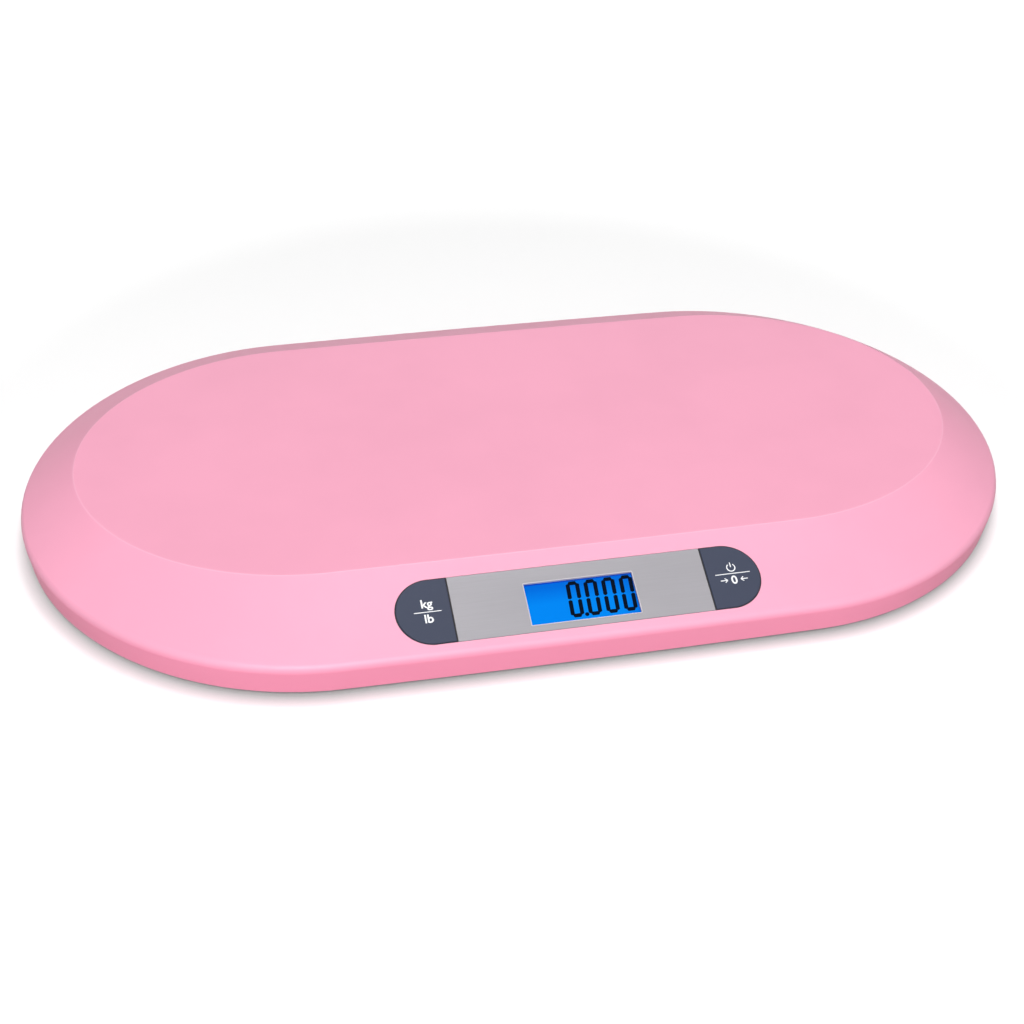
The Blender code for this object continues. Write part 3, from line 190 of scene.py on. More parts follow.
def panel_place(x=0.0, y=0.0):
    """Place on the front slope: X along the scale, Y up the slope, Z out of it, from the middle of the plate."""
    outward = -Vector(PRESS_AXIS).normalized()
    along = Vector((1.0, 0.0, 0.0))
    up = outward.cross(along)
    thickness = bpy.context.scene.baby_scale_panel.plate_thickness
    middle = (PLATE_LOW + PLATE_HIGH) / 2 + outward * thickness / 2 + along * x + up * y
    turn = Matrix((along, up, outward)).transposed().to_4x4()
    return Matrix.Translation(middle) @ turn


def finish_mesh(shape, name, place=None, sharp=30.0):
    """Turn a finished bmesh into a smooth-shaded mesh in its place."""
    if place is not None:
        bmesh.ops.transform(shape, matrix=place, verts=shape.verts)
    bmesh.ops.recalc_face_normals(shape, faces=shape.faces)
    mesh = bpy.data.meshes.new(name)
    shape.to_mesh(mesh)
    shape.free()
    mesh.shade_smooth()
    mesh.set_sharp_from_angle(angle=math.radians(sharp))
    return mesh


def link_object(name, data):
    made = bpy.data.objects.new(name, data)
    bpy.context.scene.collection.objects.link(made)
    return made


def take_mesh(holder):
    """An object's shape, with its modifiers, as one plain mesh; the object itself goes."""
    bpy.context.view_layer.update()
    mesh = bpy.data.meshes.new_from_object(holder.evaluated_get(bpy.context.evaluated_depsgraph_get()))
    bpy.data.objects.remove(holder, do_unlink=True)
    return mesh


def add_piece(name, mesh, material, body, slot, *nodes):
    """Link a piece with its finish, the CAD body it moves with and the CAD nodes it stands for."""
    piece = link_object(name, mesh)
    mesh.materials.clear()
    mesh.materials.append(material)
    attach(piece, body)
    if nodes:
        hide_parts(*nodes)
    return piece


def carve(mesh, steps, sharp=30.0):
    """Join or cut a mesh with others in turn, and keep the result as one plain mesh."""
    worker = link_object("worker", mesh)
    operands = []
    for operation, other in steps:
        operands.append(link_object("operand", other))
        step = worker.modifiers.new("Step", "BOOLEAN")
        step.operation = operation
        step.solver = "EXACT"
        step.object = operands[-1]
    result = take_mesh(worker)
    result.name = mesh.name
    for used in operands:
        bpy.data.objects.remove(used, do_unlink=True)
    result.shade_smooth()
    result.set_sharp_from_angle(angle=math.radians(sharp))
    return result


def even_normals(piece):
    """Keep the large flat faces flat where they meet rounded edges."""
    step = piece.modifiers.new("Even normals", "WEIGHTED_NORMAL")
    step.mode = "FACE_AREA"
    step.weight = 90
    step.keep_sharp = True


def add_slab(shape, half_x, half_y, bottom, top, x=0.0, y=0.0, corner=0.0, steps=5):
    """A block with rounded upright corners."""
    size = Matrix.Diagonal((half_x * 2, half_y * 2, top - bottom, 1.0))
    place = Matrix.Translation((x, y, (bottom + top) / 2)) @ size
    made = bmesh.ops.create_cube(shape, size=1.0, matrix=place)["verts"]
    if corner:
        edges = {edge for vert in made for edge in vert.link_edges}
        upright = [edge for edge in edges if abs(edge.verts[0].co.z - edge.verts[1].co.z) > (top - bottom) / 2]
        bmesh.ops.bevel(
            shape, geom=upright, offset=corner, offset_type="OFFSET", segments=steps, profile=0.5, affect="EDGES",
            material=-1,
        )


def slab(name, *sizes, place=None, **options):
    """A block as a mesh of its own, in its place."""
    shape = bmesh.new()
    add_slab(shape, *sizes, **options)
    return finish_mesh(shape, name, place)


def rod(name, x, y, radius, bottom, top, place=None):
    """An upright rod as a mesh of its own, in its place."""
    shape = bmesh.new()
    middle = Matrix.Translation((x, y, (bottom + top) / 2))
    bmesh.ops.create_cone(
        shape, cap_ends=True, segments=32, radius1=radius, radius2=radius, depth=top - bottom, matrix=middle
    )
    return finish_mesh(shape, name, place)


def turned(name, profile, place=None, steps=72):
    """Turn a profile of radii and heights in millimetres round the upright axis."""
    shape = bmesh.new()
    row = [shape.verts.new((radius * MM, 0.0, height * MM)) for radius, height in profile]
    edges = [shape.edges.new(pair) for pair in zip(row, row[1:])]
    bmesh.ops.spin(
        shape, geom=row + edges, cent=(0.0, 0.0, 0.0), axis=UP, angle=math.tau, steps=steps, use_merge=True
    )
    bmesh.ops.remove_doubles(shape, verts=shape.verts, dist=0.0005 * MM)
    return finish_mesh(shape, name, place)


def break_edges(shape, chosen, offset, steps=1):
    edges = [edge for edge in shape.edges if chosen(edge)]
    bmesh.ops.bevel(
        shape, geom=edges, offset=offset, offset_type="OFFSET", segments=steps, profile=0.5, affect="EDGES", material=-1
    )


def raise_face(shape, height):
    """Give the flat faces of a shape a thickness."""
    made = bmesh.ops.extrude_face_region(shape, geom=list(shape.faces))["geom"]
    verts = [item for item in made if isinstance(item, bmesh.types.BMVert)]
    bmesh.ops.translate(shape, vec=(0.0, 0.0, height), verts=verts)


def start_finish(name, roughness, metallic=0.0):
    material = bpy.data.materials.new(name)
    material.use_nodes = True
    shader = material.node_tree.nodes["Principled BSDF"]
    shader.inputs["Roughness"].default_value = roughness
    shader.inputs["Metallic"].default_value = metallic
    return material, material.node_tree, shader


def add_noise(tree, scale, detail=3.0, stretch=(1.0, 1.0, 1.0), turn=0.0):
    """Noise fixed to the piece, stretched along its own axes after a turn about X."""
    coordinates = tree.nodes.new("ShaderNodeTexCoord")
    first = tree.nodes.new("ShaderNodeMapping")
    first.inputs["Rotation"].default_value = (turn, 0.0, 0.0)
    second = tree.nodes.new("ShaderNodeMapping")
    second.inputs["Scale"].default_value = stretch
    noise = tree.nodes.new("ShaderNodeTexNoise")
    noise.inputs["Scale"].default_value = scale
    noise.inputs["Detail"].default_value = detail
    tree.links.new(coordinates.outputs["Object"], first.inputs["Vector"])
    tree.links.new(first.outputs["Vector"], second.inputs["Vector"])
    tree.links.new(second.outputs["Vector"], noise.inputs["Vector"])
    return noise.outputs["Fac"]


def fill(tree, socket, value):
    """Give a socket what it takes: another node's output, a number or a colour."""
    if isinstance(value, bpy.types.NodeSocket):
        tree.links.new(value, socket)
    elif isinstance(value, float):
        socket.default_value = value
    else:
        socket.default_value = (*value, 1.0)


def calculate(tree, operation, *values):
    """The output of a math node."""
    node = tree.nodes.new("ShaderNodeMath")
    node.operation = operation
    for socket, value in zip(node.inputs, values):
        fill(tree, socket, value)
    return node.outputs["Value"]


def read_axes(tree, kind="Object"):
    """The X, Y and Z outputs of a coordinate."""
    coordinates = tree.nodes.new("ShaderNodeTexCoord")
    split = tree.nodes.new("ShaderNodeSeparateXYZ")
    tree.links.new(coordinates.outputs[kind], split.inputs["Vector"])
    return split.outputs


def add_ramp(tree, value, low, high, first=0.0, last=1.0):
    """Read a value between two limits as a value between two others."""
    ramp = tree.nodes.new("ShaderNodeMapRange")
    ramp.inputs["From Min"].default_value = low
    ramp.inputs["From Max"].default_value = high
    ramp.inputs["To Min"].default_value = first
    ramp.inputs["To Max"].default_value = last
    tree.links.new(value, ramp.inputs["Value"])
    return ramp.outputs["Result"]


def mix_colours(tree, share, first, last):
    """Go from one colour to another by a share; each is a fixed colour or another node's output."""
    mix = tree.nodes.new("ShaderNodeMix")
    mix.data_type = "RGBA"
    fill(tree, mix.inputs["A"], first)
    fill(tree, mix.inputs["B"], last)
    tree.links.new(share, mix.inputs["Factor"])
    return mix.outputs["Result"]


def add_bump(tree, shader, height, distance, strength=1.0, below=None):
    """Raise a surface by a height; a finer bump lies over the one below it."""
    bump = tree.nodes.new("ShaderNodeBump")
    bump.inputs["Distance"].default_value = distance
    bump.inputs["Strength"].default_value = strength
    tree.links.new(height, bump.inputs["Height"])
    if below is not None:
        tree.links.new(below, bump.inputs["Normal"])
    tree.links.new(bump.outputs["Normal"], shader.inputs["Normal"])
    return bump.outputs["Normal"]


def shade(tint, amount):
    return tuple(min(max(part * amount, 0.0), 1.0) for part in tint)


def moulded_plastic(name, tint, roughness, grain=0.000012, mottle=0.02, sheen=0.5):
    """Satin injection-moulded plastic: faint flow mottling and a fine spark-eroded grain."""
    material, tree, shader = start_finish(name, roughness)
    flow = add_noise(tree, 14.0, 4.0)
    tone = mix_colours(tree, add_ramp(tree, flow, 0.35, 0.65), shade(tint, 1 - mottle), shade(tint, 1 + mottle))
    tree.links.new(tone, shader.inputs["Base Color"])
    fine = add_noise(tree, 1700.0, 2.0)
    tree.links.new(add_ramp(tree, fine, 0.3, 0.7, roughness - 0.04, roughness + 0.05), shader.inputs["Roughness"])
    ripple = add_bump(tree, shader, add_noise(tree, 60.0, 2.0), 0.00003, 0.35)
    add_bump(tree, shader, fine, grain, 1.0, ripple)
    shader.inputs["Specular IOR Level"].default_value = sheen
    return material


def shell_plastic(name, size):
    """Pink satin moulding, with painted shade low on the skirt, where the pink is deeper and darker, and a painted
    highlight, a paler pink, along the edge round the pan.
    """
    material = moulded_plastic(name, size.tint, 0.42, sheen=0.28)
    tree = material.node_tree
    tone = tree.nodes["Principled BSDF"].inputs["Base Color"]
    height = read_axes(tree)["Z"]
    shoulder = size.floor_gap + size.shoulder_rise
    # Painted shade: below the shoulder the colour turns to the deeper, darker skirt colour.
    above_skirt_shade = add_ramp(tree, height, shoulder - 3.4 * MM, shoulder - 0.5 * MM)
    body = mix_colours(tree, above_skirt_shade, size.skirt_shade_tint, tone.links[0].from_socket)
    # Painted highlight: a paler band on the rounded edge round the pan, picked out by its height.
    highlight_z = size.floor_gap + size.pan_rise - 0.13 * MM
    painted_highlight_mask = calculate(tree, "COMPARE", height, highlight_z, 0.115 * MM)
    tree.links.new(mix_colours(tree, painted_highlight_mask, body, size.edge_highlight_tint), tone)
    return material


def brushed_metal(name, tint, roughness, turn=0.0, stretch=(0.012, 1.0, 1.0), metallic=0.9, contrast=0.07):
    """Brushed or rolled metal with fine lines along X."""
    material, tree, shader = start_finish(name, roughness, metallic)
    lines = add_noise(tree, 2600.0, 4.0, stretch, turn)
    broad = add_noise(tree, 30.0, 3.0, (0.3, 1.0, 1.0), turn)
    tone = mix_colours(tree, add_ramp(tree, lines, 0.25, 0.75), shade(tint, 1 - contrast), shade(tint, 1 + contrast))
    tree.links.new(tone, shader.inputs["Base Color"])
    tree.links.new(add_ramp(tree, broad, 0.3, 0.7, roughness - 0.05, roughness + 0.06), shader.inputs["Roughness"])
    add_bump(tree, shader, lines, 0.000008, 1.0)
    return material


def soft_rubber(name, tint, roughness=0.8):
    material, tree, shader = start_finish(name, roughness)
    dust = add_ramp(tree, add_noise(tree, 220.0, 5.0), 0.3, 0.8)
    tree.links.new(mix_colours(tree, dust, tint, shade(tint, 1.25)), shader.inputs["Base Color"])
    add_bump(tree, shader, add_noise(tree, 1500.0, 2.0), 0.00003)
    return material


def printed_ink(name, tint):
    material, tree, shader = start_finish(name, 0.6)
    shader.inputs["Specular IOR Level"].default_value = 0.0
    wear = add_ramp(tree, add_noise(tree, 900.0, 3.0), 0.3, 0.7)
    tree.links.new(mix_colours(tree, wear, shade(tint, 0.95), tint), shader.inputs["Base Color"])
    return material


def lit_display(name, glow):
    """Blue display lit from behind, with painted shade along its upper and right edges, where the window's walls shadow
    it.
    """
    material, tree, shader = start_finish(name, 0.5)
    shader.inputs["Specular IOR Level"].default_value = 0.0
    grain = add_ramp(tree, add_noise(tree, 5000.0, 1.0), 0.3, 0.7)
    tree.links.new(mix_colours(tree, grain, shade(glow, 0.12), shade(glow, 0.16)), shader.inputs["Base Color"])
    low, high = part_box("lcd_glass")
    axes = read_axes(tree)
    # Painted shade: the glow weakens and deepens along the upper and right edges, where the window's walls cast shade.
    edge = low.z + (high.z - low.z) * 0.84
    upper = add_ramp(tree, axes["Z"], edge - 3.5 * MM, edge, 1.0, 0.2)
    right = add_ramp(tree, axes["X"], high.x - 13.0 * MM, high.x - 2.5 * MM, 1.0, 0.25)
    cloud = add_ramp(tree, add_noise(tree, 40.0, 2.0), 0.3, 0.7, 0.94, 1.0)
    light = calculate(tree, "MULTIPLY", calculate(tree, "MULTIPLY", upper, right), cloud)
    glow_with_painted_shade = mix_colours(tree, light, (glow[0], glow[1] * 0.45, glow[2] * 0.72), glow)
    tree.links.new(glow_with_painted_shade, shader.inputs["Emission Color"])
    shader.inputs["Emission Strength"].default_value = 0.86
    return material


def clear_window(name):
    """Clear cast window that hardly shows: a faint blue tint and a soft gloss over what lies behind it."""
    material, tree, shader = start_finish(name, 0.08)
    shader.inputs["Base Color"].default_value = (0.10, 0.30, 0.85, 1.0)
    shader.inputs["Alpha"].default_value = 0.006
    shader.inputs["Specular IOR Level"].default_value = 0.06
    haze = add_noise(tree, 120.0, 2.0)
    tree.links.new(add_ramp(tree, haze, 0.3, 0.7, 0.22, 0.30), shader.inputs["Roughness"])
    return material


def circuit_board(name):
    """Green solder mask with rows of faint tracks."""
    material, tree, shader = start_finish(name, 0.35)
    tracks = add_noise(tree, 260.0, 0.0, (0.15, 1.0, 1.0))
    tone = mix_colours(tree, add_ramp(tree, tracks, 0.50, 0.54), (0.008, 0.13, 0.05), (0.02, 0.21, 0.085))
    tree.links.new(tone, shader.inputs["Base Color"])
    return material


def battery_jacket(name):
    """Plain green sleeve with a copper band near the right-hand end."""
    material, tree, shader = start_finish(name, 0.3, 0.3)
    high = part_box("battery_1")[1]
    band = add_ramp(tree, read_axes(tree)["X"], high.x - 11.0 * MM, high.x - 10.8 * MM)
    tree.links.new(mix_colours(tree, band, (0.05, 0.16, 0.08), (0.55, 0.28, 0.10)), shader.inputs["Base Color"])
    return material


FINISHES = {}


def finish_for(slot):
    """The procedural finish of a material slot, made once."""
    if slot in FINISHES:
        return FINISHES[slot]
    scene = bpy.context.scene
    keys, panel = scene.baby_scale_keys, scene.baby_scale_panel
    slope = math.atan2(-PRESS_AXIS[1], -PRESS_AXIS[2])
    makers = {
        "shell": (shell_plastic, "pink moulding", scene.baby_scale_shell),
        "base": (moulded_plastic, "white base moulding", (0.80, 0.80, 0.79), 0.50, 0.00002),
        "plate": (brushed_metal, "brushed silver plate", panel.silver, 0.5, slope, (0.02, 1.0, 1.0), 0.3, 0.03),
        "lens": (clear_window, "clear display window"),
        "display": (lit_display, "blue lit display", panel.glow),
        "button": (moulded_plastic, "slate key plastic", keys.tint, 0.45, 0.000008, 0.05, 0.2),
        "inner_plastic": (moulded_plastic, "white inner plastic", (0.80, 0.80, 0.78), 0.55, 0.00002),
        "diffuser": (moulded_plastic, "milky light guide", (0.74, 0.80, 0.92), 0.35, 0.000004),
        "strip_rubber": (soft_rubber, "contact strip rubber", (0.20, 0.20, 0.21)),
        "board": (circuit_board, "green circuit board"),
        "package": (moulded_plastic, "black package", (0.018, 0.018, 0.020), 0.55, 0.00001, 0.1),
        "screw_steel": (brushed_metal, "plated screw steel", (0.56, 0.55, 0.53), 0.30, 0.0, (1.0, 1.0, 0.1), 1.0),
        "contact_steel": (brushed_metal, "nickel spring steel", (0.62, 0.60, 0.56), 0.25, 0.0, (0.1, 1.0, 1.0), 1.0),
        "cell_steel": (brushed_metal, "stamped cell steel", (0.46, 0.46, 0.47), 0.38, 0.0, (0.05, 1.0, 1.0), 1.0),
        "pad_rubber": (soft_rubber, "grey foot rubber", (0.16, 0.16, 0.17)),
        "lead_sleeve": (soft_rubber, "grey lead sleeve", (0.30, 0.30, 0.31), 0.55),
        "red_sleeve": (soft_rubber, "red lead sleeve", (0.55, 0.03, 0.03), 0.5),
        "black_sleeve": (soft_rubber, "black lead sleeve", (0.02, 0.02, 0.02), 0.5),
        "battery_jacket": (battery_jacket, "battery jacket"),
        "trim": (moulded_plastic, "pale window trim", (0.52, 0.48, 0.51), 0.45, 0.000004),
        "print": (printed_ink, "white key print", keys.print_tint),
        "digits": (printed_ink, "dark display segments", panel.digit_tint),
    }
    make, *values = makers[slot]
    FINISHES[slot] = make(*values)
    return FINISHES[slot]


def smoothing_nodes():
    """Merge a mesh's loose triangles and shade them smooth up to a fold of 30 degrees."""
    group = bpy.data.node_groups.new("Moulded shading", "GeometryNodeTree")
    group.interface.new_socket("Geometry", in_out="INPUT", socket_type="NodeSocketGeometry")
    group.interface.new_socket("Geometry", in_out="OUTPUT", socket_type="NodeSocketGeometry")
    source = group.nodes.new("NodeGroupInput")
    merge = group.nodes.new("GeometryNodeMergeByDistance")
    merge.inputs["Distance"].default_value = 0.005 * MM
    faces = group.nodes.new("GeometryNodeSetShadeSmooth")
    angle = group.nodes.new("GeometryNodeInputMeshEdgeAngle")
    below = group.nodes.new("FunctionNodeCompare")
    below.data_type = "FLOAT"
    below.operation = "LESS_THAN"
    below.inputs["B"].default_value = math.radians(30)
    edges = group.nodes.new("GeometryNodeSetShadeSmooth")
    edges.domain = "EDGE"
    result = group.nodes.new("NodeGroupOutput")
    group.links.new(source.outputs["Geometry"], merge.inputs["Geometry"])
    group.links.new(merge.outputs["Geometry"], faces.inputs["Geometry"])
    group.links.new(faces.outputs["Geometry"], edges.inputs["Geometry"])
    group.links.new(angle.outputs["Unsigned Angle"], below.inputs["A"])
    group.links.new(below.outputs["Result"], edges.inputs["Shade Smooth"])
    group.links.new(edges.outputs["Geometry"], result.inputs["Geometry"])
    return group


class BABYSCALE_OT_finishes(bpy.types.Operator):
    """Give every part of the frame its finish and its shading"""

    bl_idname = "baby_scale.finishes"
    bl_label = "Finish the Frame's Parts"

    def execute(self, context):
        group = smoothing_nodes()
        for row in frame["record"]["subparts"]:
            node = frame["nodes"][row["node"]]
            node.data.materials.clear()
            node.data.materials.append(finish_for(row["material_slot"]))
            step = node.modifiers.new("Shading", "NODES")
            step.node_group = group
            even_normals(node)
        return {"FINISHED"}


def start_outline(shape, straight, size):
    """A vertex spun round both ends of the scale and joined along its sides; each vertex keeps where it began."""
    corner = shape.verts.new((straight, -1.0, 0.0))
    half_turn = {"axis": UP, "angle": math.pi, "steps": size.end_steps, "use_merge": False}
    spun = bmesh.ops.spin(shape, geom=[corner], cent=(straight, 0.0, 0.0), **half_turn)
    last = next(item for item in spun["geom_last"] if isinstance(item, bmesh.types.BMVert))
    far = bmesh.ops.extrude_vert_indiv(shape, verts=[last])["verts"]
    bmesh.ops.translate(shape, vec=(-2 * straight, 0.0, 0.0), verts=far)
    spun = bmesh.ops.spin(shape, geom=far, cent=(-straight, 0.0, 0.0), **half_turn)
    last = next(item for item in spun["geom_last"] if isinstance(item, bmesh.types.BMVert))
    bmesh.ops.contextual_create(shape, geom=[last, corner])
    sides = [edge for edge in shape.edges if edge.calc_length() > straight]
    bmesh.ops.subdivide_edges(shape, edges=sides, cuts=size.side_steps - 1)
    start = shape.verts.layers.float_vector.new("start")
    for vert in shape.verts:
        vert[start] = vert.co
    return start


def set_level(verts, start, straight, end_length, half_width, bow, shift, z):
    """Move one level of the outline to its own size and height."""
    reach = straight + end_length
    for vert in verts:
        x, y = vert[start].x, vert[start].y * half_width
        if abs(x) > straight:
            x = math.copysign(straight + (abs(x) - straight) * end_length, x)
        vert.co = (x, y * (1 + bow / half_width * (1 - (x / reach) ** 2)) + shift, z)


def next_level(shape, edges):
    made = bmesh.ops.extrude_edge_only(shape, edges=edges)["geom"]
    verts = {item for item in made if isinstance(item, bmesh.types.BMVert)}
    level = [edge for edge in shape.edges if edge.verts[0] in verts and edge.verts[1] in verts]
    return verts, level


def shell_skin(size):
    """The outer skin, drawn up level by level, with both of its long edges marked for rounding, then given its wall."""
    straight = size.length / 2 - size.end_radius
    half_width = size.end_radius + size.side_bow
    shape = bmesh.new()
    weight = shape.edges.layers.float.new("bevel_weight_edge")
    start = start_outline(shape, straight, size)
    low = size.end_radius - size.draft
    edges = list(shape.edges)
    set_level(shape.verts, start, straight, low, low, size.side_bow, 0.0, size.floor_gap)
    verts, shoulder = next_level(shape, edges)
    end = size.end_radius
    set_level(verts, start, straight, end, end, size.side_bow, 0.0, size.floor_gap + size.shoulder_rise)
    verts, pan_edge = next_level(shape, shoulder)
    pan_width = half_width - (size.rim_front + size.rim_back) / 2
    shift = (size.rim_front - size.rim_back) / 2
    pan_z = size.floor_gap + size.pan_rise
    pan_end = end - size.rim_end
    set_level(verts, start, straight, pan_end, pan_width - size.pan_bow, size.pan_bow, shift, pan_z)
    bmesh.ops.contextual_create(shape, geom=pan_edge)
    bmesh.ops.recalc_face_normals(shape, faces=shape.faces)
    for ring, radius in ((shoulder, size.shoulder_radius), (pan_edge, size.pan_edge_radius)):
        for edge in ring:
            edge[weight] = math.tan(edge.calc_face_angle() / 2) * radius / size.shoulder_radius
    mesh = bpy.data.meshes.new("moulded_shell")
    shape.to_mesh(mesh)
    shape.free()
    worker = link_object("worker", mesh)
    rounding = worker.modifiers.new("Rounding", "BEVEL")
    rounding.limit_method = "WEIGHT"
    rounding.offset_type = "OFFSET"
    rounding.width = size.shoulder_radius
    rounding.segments = size.fillet_steps
    rounding.use_clamp_overlap = False
    wall = worker.modifiers.new("Wall", "SOLIDIFY")
    wall.thickness = size.wall
    wall.offset = -1.0
    wall.use_even_offset = True
    return take_mesh(worker)


def add_stadium(shape, half_straight, radius, steps=96):
    """A flat half-round-ended face: a disc whose halves are drawn apart."""
    made = bmesh.ops.create_circle(shape, cap_ends=True, segments=steps, radius=radius)["verts"]
    for side in (-1, 1):
        half = [vert for vert in made if vert.co.x * side > radius * 1e-4]
        bmesh.ops.translate(shape, vec=(side * half_straight, 0.0, 0.0), verts=half)
    return made


def stadium_block(name, half_straight, radius, bottom, top, place, flare=0.0):
    """A half-round-ended block whose upper edge may open out."""
    shape = bmesh.new()
    add_stadium(shape, half_straight, radius)
    bmesh.ops.translate(shape, vec=(0.0, 0.0, bottom), verts=shape.verts)
    if not flare:
        raise_face(shape, top - bottom)
        return finish_mesh(shape, name, place)
    raise_face(shape, -bottom - flare)
    upper = [face for face in shape.faces if abs(face.calc_center_median().z + flare) < flare / 2]
    for grow, rise in ((flare, flare), (0.0, top)):
        made = bmesh.ops.extrude_face_region(shape, geom=upper)["geom"]
        bmesh.ops.delete(shape, geom=upper, context="FACES_ONLY")
        verts = [item for item in made if isinstance(item, bmesh.types.BMVert)]
        upper = [item for item in made if isinstance(item, bmesh.types.BMFace)]
        for vert in verts:
            side = math.copysign(half_straight, vert.co.x)
            out = Vector((vert.co.x - side, vert.co.y))
            out = out.normalized() * (out.length + grow)
            vert.co = (side + out.x, out.y, vert.co.z + rise)
    return finish_mesh(shape, name, place)


def boss_places():
    """The middle and the tip of each of the six screws under the pan."""
    for number in range(1, 7):
        low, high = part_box(f"base_screw_{number}")
        yield (low.x + high.x) / 2, (low.y + high.y) / 2, high.z


def foot_places():
    """The name, the middle and the upper face of each load cell's holder."""
    for name in ("front_left", "front_right", "back_left", "back_right"):
        low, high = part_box("cell_holder_" + name)
        yield name, (low.x + high.x) / 2, (low.y + high.y) / 2, high.z


BOSS_RADIUS, BOSS_HOLE_RADIUS = 4.2 * MM, 1.8 * MM
TOWER_INNER, TOWER_OUTER = 16.0, 18.0
RIB_HALF_WIDTH, RIB_HEIGHT, LONG_RIB_HALF = 0.8 * MM, 9.25 * MM, 204.2 * MM
LONG_RIB_PITCH, CROSS_RIB_PITCH, CROSS_RIB_INSET = 50.0 * MM, 70.0 * MM, 6.0 * MM


def inner_works(size):
    """What hangs under the pan: screw bosses, load towers and crossed ribs, and the cutters of their holes."""
    buried = size.floor_gap + size.pan_rise - size.wall / 2
    joined, cutters = [], []
    for x, y, tip in boss_places():
        joined.append(rod("boss", x, y, BOSS_RADIUS, tip - 9.7 * MM, buried))
        cutters.append(rod("boss_hole", x, y, BOSS_HOLE_RADIUS, tip - 13.0 * MM, tip + 0.3 * MM))
    for _, x, y, top in foot_places():
        low, high = (top + 0.3 * MM) / MM, buried / MM
        tower = [(TOWER_INNER, low), (TOWER_OUTER, low), (TOWER_OUTER, high), (TOWER_INNER, high), (TOWER_INNER, low)]
        joined.append(turned("tower", tower, Matrix.Translation((x, y, 0.0))))
        inner_x = x - math.copysign(TOWER_OUTER * MM, x)
        cutters.append(slab("notch", 4.0 * MM, 3.5 * MM, top - 2.7 * MM, top + 5.5 * MM, x=inner_x, y=y))
    middle = (size.rim_front - size.rim_back) / 2
    half_width = size.end_radius + size.side_bow - (size.rim_front + size.rim_back) / 2
    straight = size.length / 2 - size.end_radius
    pan_end = size.end_radius - size.rim_end
    low = buried - RIB_HEIGHT
    for step in (-1, 0, 1):
        y = middle + step * LONG_RIB_PITCH
        joined.append(slab("long_rib", LONG_RIB_HALF, RIB_HALF_WIDTH, low, buried, y=y))
    for step in (-2, -1, 0, 1, 2):
        x = step * CROSS_RIB_PITCH
        past = max(abs(x) - straight, 0.0) / pan_end
        reach = half_width * math.sqrt(1 - past ** 2) - CROSS_RIB_INSET
        reach -= size.pan_bow * (x / (straight + pan_end)) ** 2
        joined.append(slab("cross_rib", RIB_HALF_WIDTH, reach, low, buried, x=x, y=middle))
    return joined, cutters


BOARD_POST_X, BOARD_POST_Y = 52.0 * MM, 14.0 * MM


class BABYSCALE_OT_shell(bpy.types.Operator):
    """Mould the pink top shell with its sloping rim, its soft shoulder and the pocket for the panel"""

    bl_idname = "baby_scale.shell"
    bl_label = "Top Shell"

    def execute(self, context):
        size = context.scene.baby_scale_shell
        keys = context.scene.baby_scale_keys
        place = panel_place()
        centre_x = size.pocket_centre
        under = size.pocket_depth + size.seat_thickness
        radius = size.pocket_radius
        joined, cutters = inner_works(size)
        joined.append(stadium_block("seat", centre_x, radius + 2.5 * MM, -under, -size.pocket_depth, place))
        for x in (-BOARD_POST_X, BOARD_POST_X):
            for y in (-BOARD_POST_Y, BOARD_POST_Y):
                joined.append(rod("board_post", x, y, 3.0 * MM, -11.5 * MM, -under + size.seat_thickness / 2, place))
                cutters.append(rod("post_hole", x, y, 1.3 * MM, -14.8 * MM, -6.5 * MM, place))
        cutters.append(stadium_block("pocket", centre_x, radius, -size.pocket_depth, 3 * MM, place, size.pocket_edge))
        cutters.append(window_cutter(context, place, 1.8 * MM, -2.7 * MM))
        cutters.append(window_cutter(context, place, 1.0 * MM, -8.0 * MM))
        for side in (-1, 1):
            cutters.append(key_block(keys, side, 0.3 * MM, -under - 3 * MM, 3 * MM))
        steps = [("UNION", mesh) for mesh in joined] + [("DIFFERENCE", mesh) for mesh in cutters]
        mesh = carve(shell_skin(size), steps)
        mesh.name = "moulded_shell"
        shell = add_piece("moulded_shell", mesh, finish_for("shell"), "housing", "shell", "top_shell")
        even_normals(shell)
        return {"FINISHED"}


def window_cutter(context, place, border, bottom):
    """A block that opens the seat under the display opening, wider than it by a border."""
    panel = context.scene.baby_scale_panel
    half_x = panel.window_length / 2 + border
    half_y = panel.window_height / 2 + border
    return slab("window", half_x, half_y, bottom, 0.0, y=-panel.window_drop, place=place)


